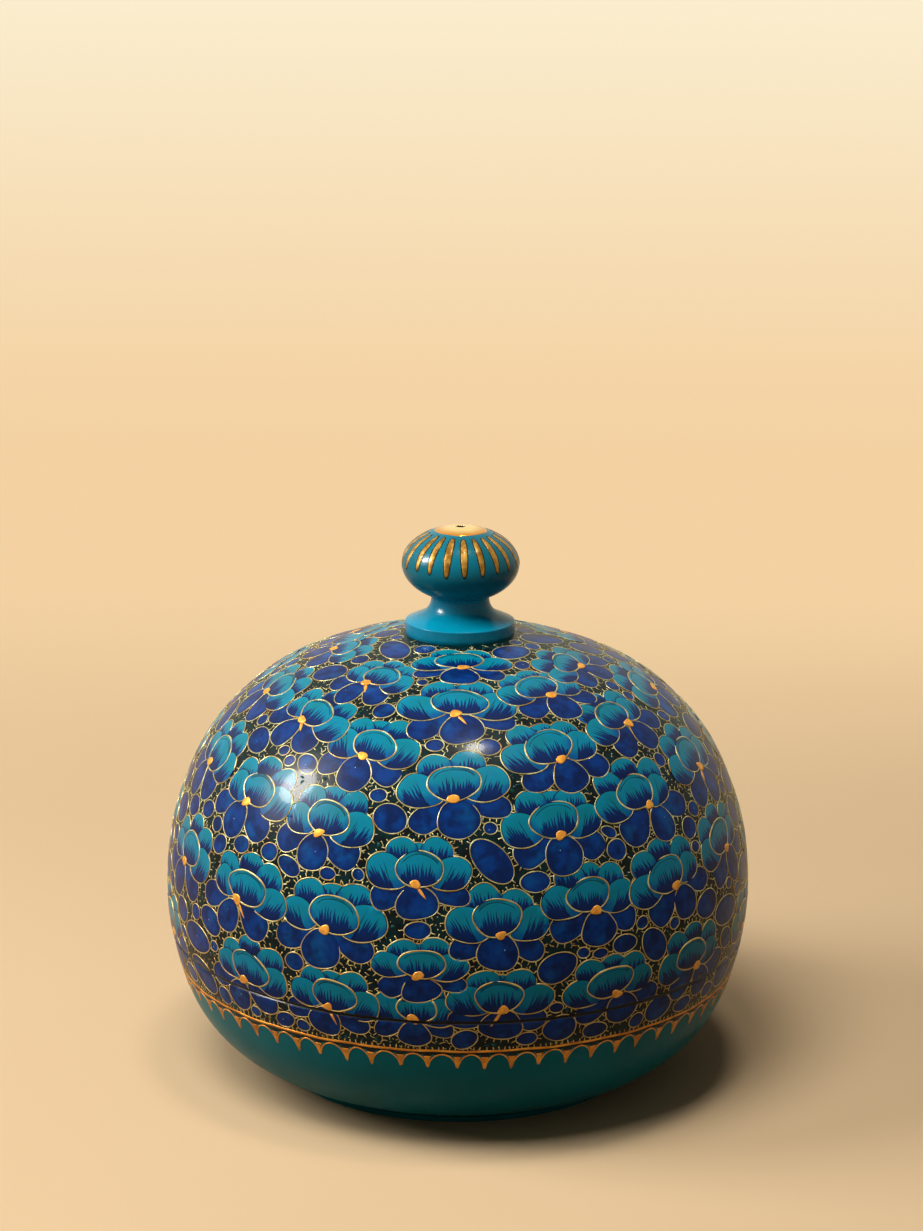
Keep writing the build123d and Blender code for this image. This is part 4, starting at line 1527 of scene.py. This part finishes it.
def paint_grains():
    """Dull leaves, bent gold strokes and gold dots strewn over what is still free, on a jittered grid."""
    rows = np.arange(field_distance[0] + 0.4, field_distance[-1], GRAIN_PITCH)
    counts = np.maximum(8, (outline_at(rows)[0] * tau / GRAIN_PITCH).astype(int))
    distance = np.repeat(rows, counts)
    azimuth = np.concatenate([np.arange(count) * 360 / count - 180 for count in counts])
    distance = distance + draw.uniform(-0.2, 0.2, len(distance))
    azimuth = azimuth + draw.uniform(-0.2, 0.2, len(azimuth)) * np.degrees(1 / outline_at(distance)[0])
    spots = Spots(distance, azimuth)
    room = free_at(spots.origin)
    chance = draw.random(len(distance))
    leaf = (room > LEAF_ROOM) & (chance < LEAF_CHANCE)
    stroke = (room > SQUIGGLE_ROOM) & ~leaf & (chance < SQUIGGLE_CHANCE)
    dot = (room > DOT_ROOM) & (chance > DOT_DRAW)
    paths = bent_strokes(room[stroke])
    lift = 0.026 + 0.005 * (np.arange(len(paths)) % 4)[:, None] + 0 * paths[..., 0]
    width = draw.uniform(0.18, 0.25, (len(paths), 1)) * np.array([0.6, 1, 1, 1, 1, 0.6])
    flat, lifts = ribbons(paths, width, lift, 0 * lift + BURIED, False)
    points = spots.take(stroke).surface(flat, lifts)
    lay("ground_strokes", "gold", points, ribbon_faces(SQUIGGLE_POINTS, False))
    for title, coat, which, length, width, count in (
        ("leaves", "leaf", leaf, (0.9, 1.5), (0.5, 0.8), 8),
        ("dots", "gold", dot, (0.24, 0.50), (0.18, 0.28), 6),
    ):
        total = which.sum()
        lengths, widths = draw.uniform(*length, total), draw.uniform(*width, total)
        outlines = egg(lengths, widths, np.full(total, 0.2), count)
        outlines = turn_flat(outlines, draw.uniform(0, 360, total))
        flat, lifts = patches(outlines, np.zeros((total, 2)), (1.0,), np.full(total, -0.004), 0.045)
        lay(title, coat, spots.take(which).surface(flat, lifts), patch_faces(1, count))


def painted_glints():
    """A pale dot, a painted glint, on the middle petal of some flowers and on some buds."""
    which = np.flatnonzero(draw.random(len(flowers)) < PETAL_GLINT_CHANCE)
    middles = petals["low_middle"].centres[which] + draw.normal(0, 1.0, (len(which), 2))
    lift = level_lift("low_middle")[which]
    bare = np.flatnonzero(draw.random(len(buds)) < BUD_GLINT_CHANCE)
    for title, spots, centres, lifts in (
        ("petal_painted_glints", flower_spots.take(which), middles, lift),
        ("bud_painted_glints", bud_spots.take(bare), draw.normal(0, 0.4, (len(bare), 2)), np.full(len(bare), 0.03)),
    ):
        size = draw.uniform(0.2, 0.36, len(centres))
        outlines = centres[:, None] + egg(size, size, 0 * size, 6)
        flat, heights = patches(outlines, centres, (1.0,), lifts - 0.005, 0.03)
        lay(title, "painted_glint", spots.surface(flat, heights), patch_faces(1, 6))


buds = place_buds()
bud_spots = Spots(buds[:, 0], buds[:, 1])
bud_shapes = bud_outlines()
paint_buds(bud_shapes)
paint_ticks()
paint_grains()
painted_glints()

# ---------------------------------------------------------------------------------------------
# Border of the bowl: a line with a fringe, and spears below it with an arch from each to the next
# ---------------------------------------------------------------------------------------------
SPEARS = 66
SPEAR_LENGTH = 4.3
SPEAR_TIP = 0.24  # half its width near the tip
SPEAR_GROUND_ROWS = 4  # rows of a spear at its top, where the ground shows
SPEAR_HEIGHT = 0.045
SPEAR_GROUND_HEIGHT = 0.014
BORDER_LINE = 0.68
BORDER_HEIGHT = 0.06
ARCH_LINE = 0.42
ARCH_DROP = 0.78  # from the border's line down to the arches
FRINGE_PITCH = 1.15


def round_body(distance, azimuth, lift):
    """Points at distances from the pole and azimuths, moved along the body's normal to a lift above the
    ground coat."""
    across, height, angle = outline_at(distance)
    across = across + (lift - PAINT_DEPTH) * np.cos(angle)
    height = height + (lift - PAINT_DEPTH) * np.sin(angle)
    turn = np.radians(azimuth)
    return np.stack(np.broadcast_arrays(across * np.sin(turn), -across * np.cos(turn), height), -1)


def border_line():
    """The gold line above the spears, a band with a bevelled section turned right round."""
    section = np.array([[-0.5, BURIED], [-0.3, BORDER_HEIGHT], [0.3, BORDER_HEIGHT], [0.5, BURIED]])
    azimuth = np.arange(SHELL_SEGMENTS * 2) * 180 / SHELL_SEGMENTS
    sway = 0.06 * np.sin(np.radians(azimuth * 23)) + 0.05 * np.sin(np.radians(azimuth * 41 + 70))
    distance = BORDER_AT + sway[:, None] + section[:, 0] * BORDER_LINE
    points = round_body(distance, azimuth[:, None], section[:, 1])
    lay("border_line", "border", points.reshape(1, -1, 3), ribbon_faces(len(azimuth), True))


def border_fringe():
    """Short gold ticks stand side by side on the border's line, on the painted side."""
    across = outline_at(BORDER_AT)[0]
    count = int(tau * across / FRINGE_PITCH)
    azimuth = (np.arange(count) + draw.uniform(-0.15, 0.15, count)) * 360 / count
    spots = Spots(np.full(count, BORDER_AT - BORDER_LINE / 2), azimuth)
    length, width = draw.uniform(0.75, 1.05, count), draw.uniform(0.24, 0.32, count)
    middle = np.array([0, 0.3])
    outlines = egg(length, width, np.full(count, -0.2), 6)
    outlines = turn_flat(outlines, 90 + draw.normal(0, 9, count)) + middle
    flat, lifts = patches(outlines, np.tile(middle, (count, 1)), (1.0,), np.full(count, 0.004), 0.04)
    lay("border_fringe", "gold", spots.surface(flat, lifts), patch_faces(1, 6))


def border_spears():
    """Spears hang from the line between round-topped tongues: half a spear is what the tongue's elliptical
    top leaves of half a pitch, and its tip is blunt. The ground shows at its top; the rest is gold."""
    across = outline_at(BORDER_AT)[0]
    half_pitch = pi / SPEARS * across
    depth = np.concatenate([np.linspace(0, 0.85, 12), np.linspace(0.9, 1.0, 4)])
    half = half_pitch - (half_pitch - SPEAR_TIP) * np.sqrt(1 - (1 - depth) ** 2)
    half[-3:] *= (0.95, 0.8, 0.35)
    section = np.array([1.0, 0.7, -0.7, -1.0])
    distance = BORDER_AT + depth * spear_reach[:, None]
    offset = half[None, :, None] * section
    spread = spear_azimuth[:, None, None] - np.degrees(offset / outline_at(distance)[0][..., None])
    for title, coat, first, height in (
        ("border_spear_grounds", "ground", 0, SPEAR_GROUND_HEIGHT),
        ("border_spears", "border", SPEAR_GROUND_ROWS, SPEAR_HEIGHT),
    ):
        lift = np.array([BURIED, height, height, BURIED])
        points = round_body(distance[:, first:, None], spread[:, first:], lift)
        lay(title, coat, points.reshape(SPEARS, -1, 3), ribbon_faces(len(depth) - first, False))


def border_arches():
    """A gold line over each tongue, half an ellipse from spear to spear, that leaves a dark gap under the
    border's line."""
    span = np.roll(spear_azimuth, -1) - spear_azimuth
    span[-1] += 360
    turn = np.radians(np.linspace(4, 176, 20))
    across = outline_at(BORDER_AT + 2)[0]
    centre = spear_azimuth + span / 2
    reach = (spear_reach + np.roll(spear_reach, -1)) / 2
    half = np.radians(span) * across / 2 - SPEAR_TIP * 0.75
    paths = np.stack([np.cos(turn) * half[:, None], np.sin(turn) * (reach - ARCH_DROP)[:, None]], -1)
    top = np.full(paths.shape[:2], BORDER_HEIGHT)
    flat, lifts = ribbons(paths, np.full(top.shape, ARCH_LINE), top, top * 0 + BURIED, False)
    distance = BORDER_AT + reach[:, None] - flat[..., 1]
    azimuth = centre[:, None] + np.degrees(flat[..., 0] / outline_at(distance)[0])
    lay("border_arches", "border", round_body(distance, azimuth, lifts), ribbon_faces(len(turn), False))


spear_azimuth = (np.arange(SPEARS) + draw.uniform(-0.06, 0.06, SPEARS)) * 360 / SPEARS
spear_reach = SPEAR_LENGTH * draw.uniform(0.92, 1.07, SPEARS)
border_line()
border_fringe()
border_spears()
border_arches()

# ---------------------------------------------------------------------------------------------
# Strokes and cap of the knob
# ---------------------------------------------------------------------------------------------
KNOB_STROKES = 21
KNOB_STROKE_HALF = 0.85  # half a stroke's width
KNOB_STROKE_TOP = (55, 58)  # degrees above the bulb's widest line between which the strokes start
KNOB_STROKE_FOOT = (-4, 3)
KNOB_STROKE_ROWS = 18
KNOB_STROKE_HEIGHT = 0.06
KNOB_EDGE = 0.38  # the dark stroke shows this far round the gold one
KNOB_EDGE_HEIGHT = 0.03
KNOB_BURIED = -0.06
CAP_RADIUS = 5.5
CAP_HOLE_GAP = 0.11  # from the hole's wall to the cap
CAP_HEIGHT = 0.05
CAP_UNDERSIDE = -0.10
CAP_ROWS = 13


def knob_strokes():
    """Gold strokes run down the bulb from under its cap, each over a slightly wider dark one: bars with
    rounded ends, widest above the middle, that lie a little off the even. A power of a sine gives the
    width from end to end."""
    count, rows = KNOB_STROKES, KNOB_STROKE_ROWS
    share = (1 - np.cos(np.linspace(0, pi, rows))) / 2
    start = np.radians(draw.uniform(*KNOB_STROKE_TOP, count))
    end = np.radians(draw.uniform(*KNOB_STROKE_FOOT, count))
    swell = (np.sin(pi * share**0.85) + 1e-4) ** 0.36
    width = KNOB_STROKE_HALF * draw.uniform(0.9, 1.1, (count, 1))
    middle = (np.arange(count) + draw.uniform(-0.07, 0.07, count)) * tau / count + radians(4)
    section = np.array([1.0, 0.6, -0.6, -1.0])
    faces = many_faces(ribbon_faces(rows, False), count, rows * len(section))
    for name, coat, margin, height in (
        ("knob_stroke_edges", "olive", KNOB_EDGE, KNOB_EDGE_HEIGHT),
        ("knob_strokes", "stroke", 0.0, KNOB_STROKE_HEIGHT),
    ):
        spare = margin / BULB_RADIUS
        angle = (start + spare)[:, None] + (end - start - 2 * spare)[:, None] * share
        lift = np.array([KNOB_BURIED, height, height, KNOB_BURIED])
        across, height_at = bulb_at(angle[..., None] + 0 * section, lift)
        half = (width + margin) * swell
        turn = middle[:, None, None] - half[..., None] * section / across
        points = np.stack([across * np.sin(turn), -across * np.cos(turn), height_at], -1).reshape(-1, 3)
        new_piece(name, points, faces, paints[coat], "lid")


def knob_cap():
    """The gold cap round the lathe hole: a thin ring over the bulb's top, its section carried round, with
    two sines that make its outer edge slightly uneven."""
    edge = np.arccos(CAP_RADIUS / BULB_RADIUS)
    inner = np.arccos((HOLE_RADIUS + CAP_HOLE_GAP) / BULB_RADIUS)
    over, under = np.linspace(inner, edge, CAP_ROWS), np.linspace(edge, inner, CAP_ROWS + 1)
    angle = np.concatenate([[inner], over, under])
    top = np.full(CAP_ROWS - 1, CAP_HEIGHT)
    lift = np.concatenate([[KNOB_BURIED], top, [KNOB_BURIED], np.full(len(under), CAP_UNDERSIDE)])
    turn = np.arange(KNOB_SEGMENTS) * tau / KNOB_SEGMENTS
    wobble = 0.007 * np.sin(5 * turn) + 0.005 * np.sin(9 * turn + 1)
    share = (inner - angle) / (inner - edge)
    across, height = bulb_at(angle + wobble[:, None] * share**3, lift)
    points = np.stack([across * np.cos(turn)[:, None], across * np.sin(turn)[:, None], height], -1)
    grid = np.arange(KNOB_SEGMENTS * len(angle)).reshape(KNOB_SEGMENTS, -1)
    there = np.roll(grid, -1, 0)
    quads = np.stack([grid, np.roll(grid, -1, 1), np.roll(there, -1, 1), there], -1).reshape(-1, 4)
    new_piece("knob_cap", points.reshape(-1, 3), [quads], paints["cap"], "lid")


knob_strokes()
knob_cap()
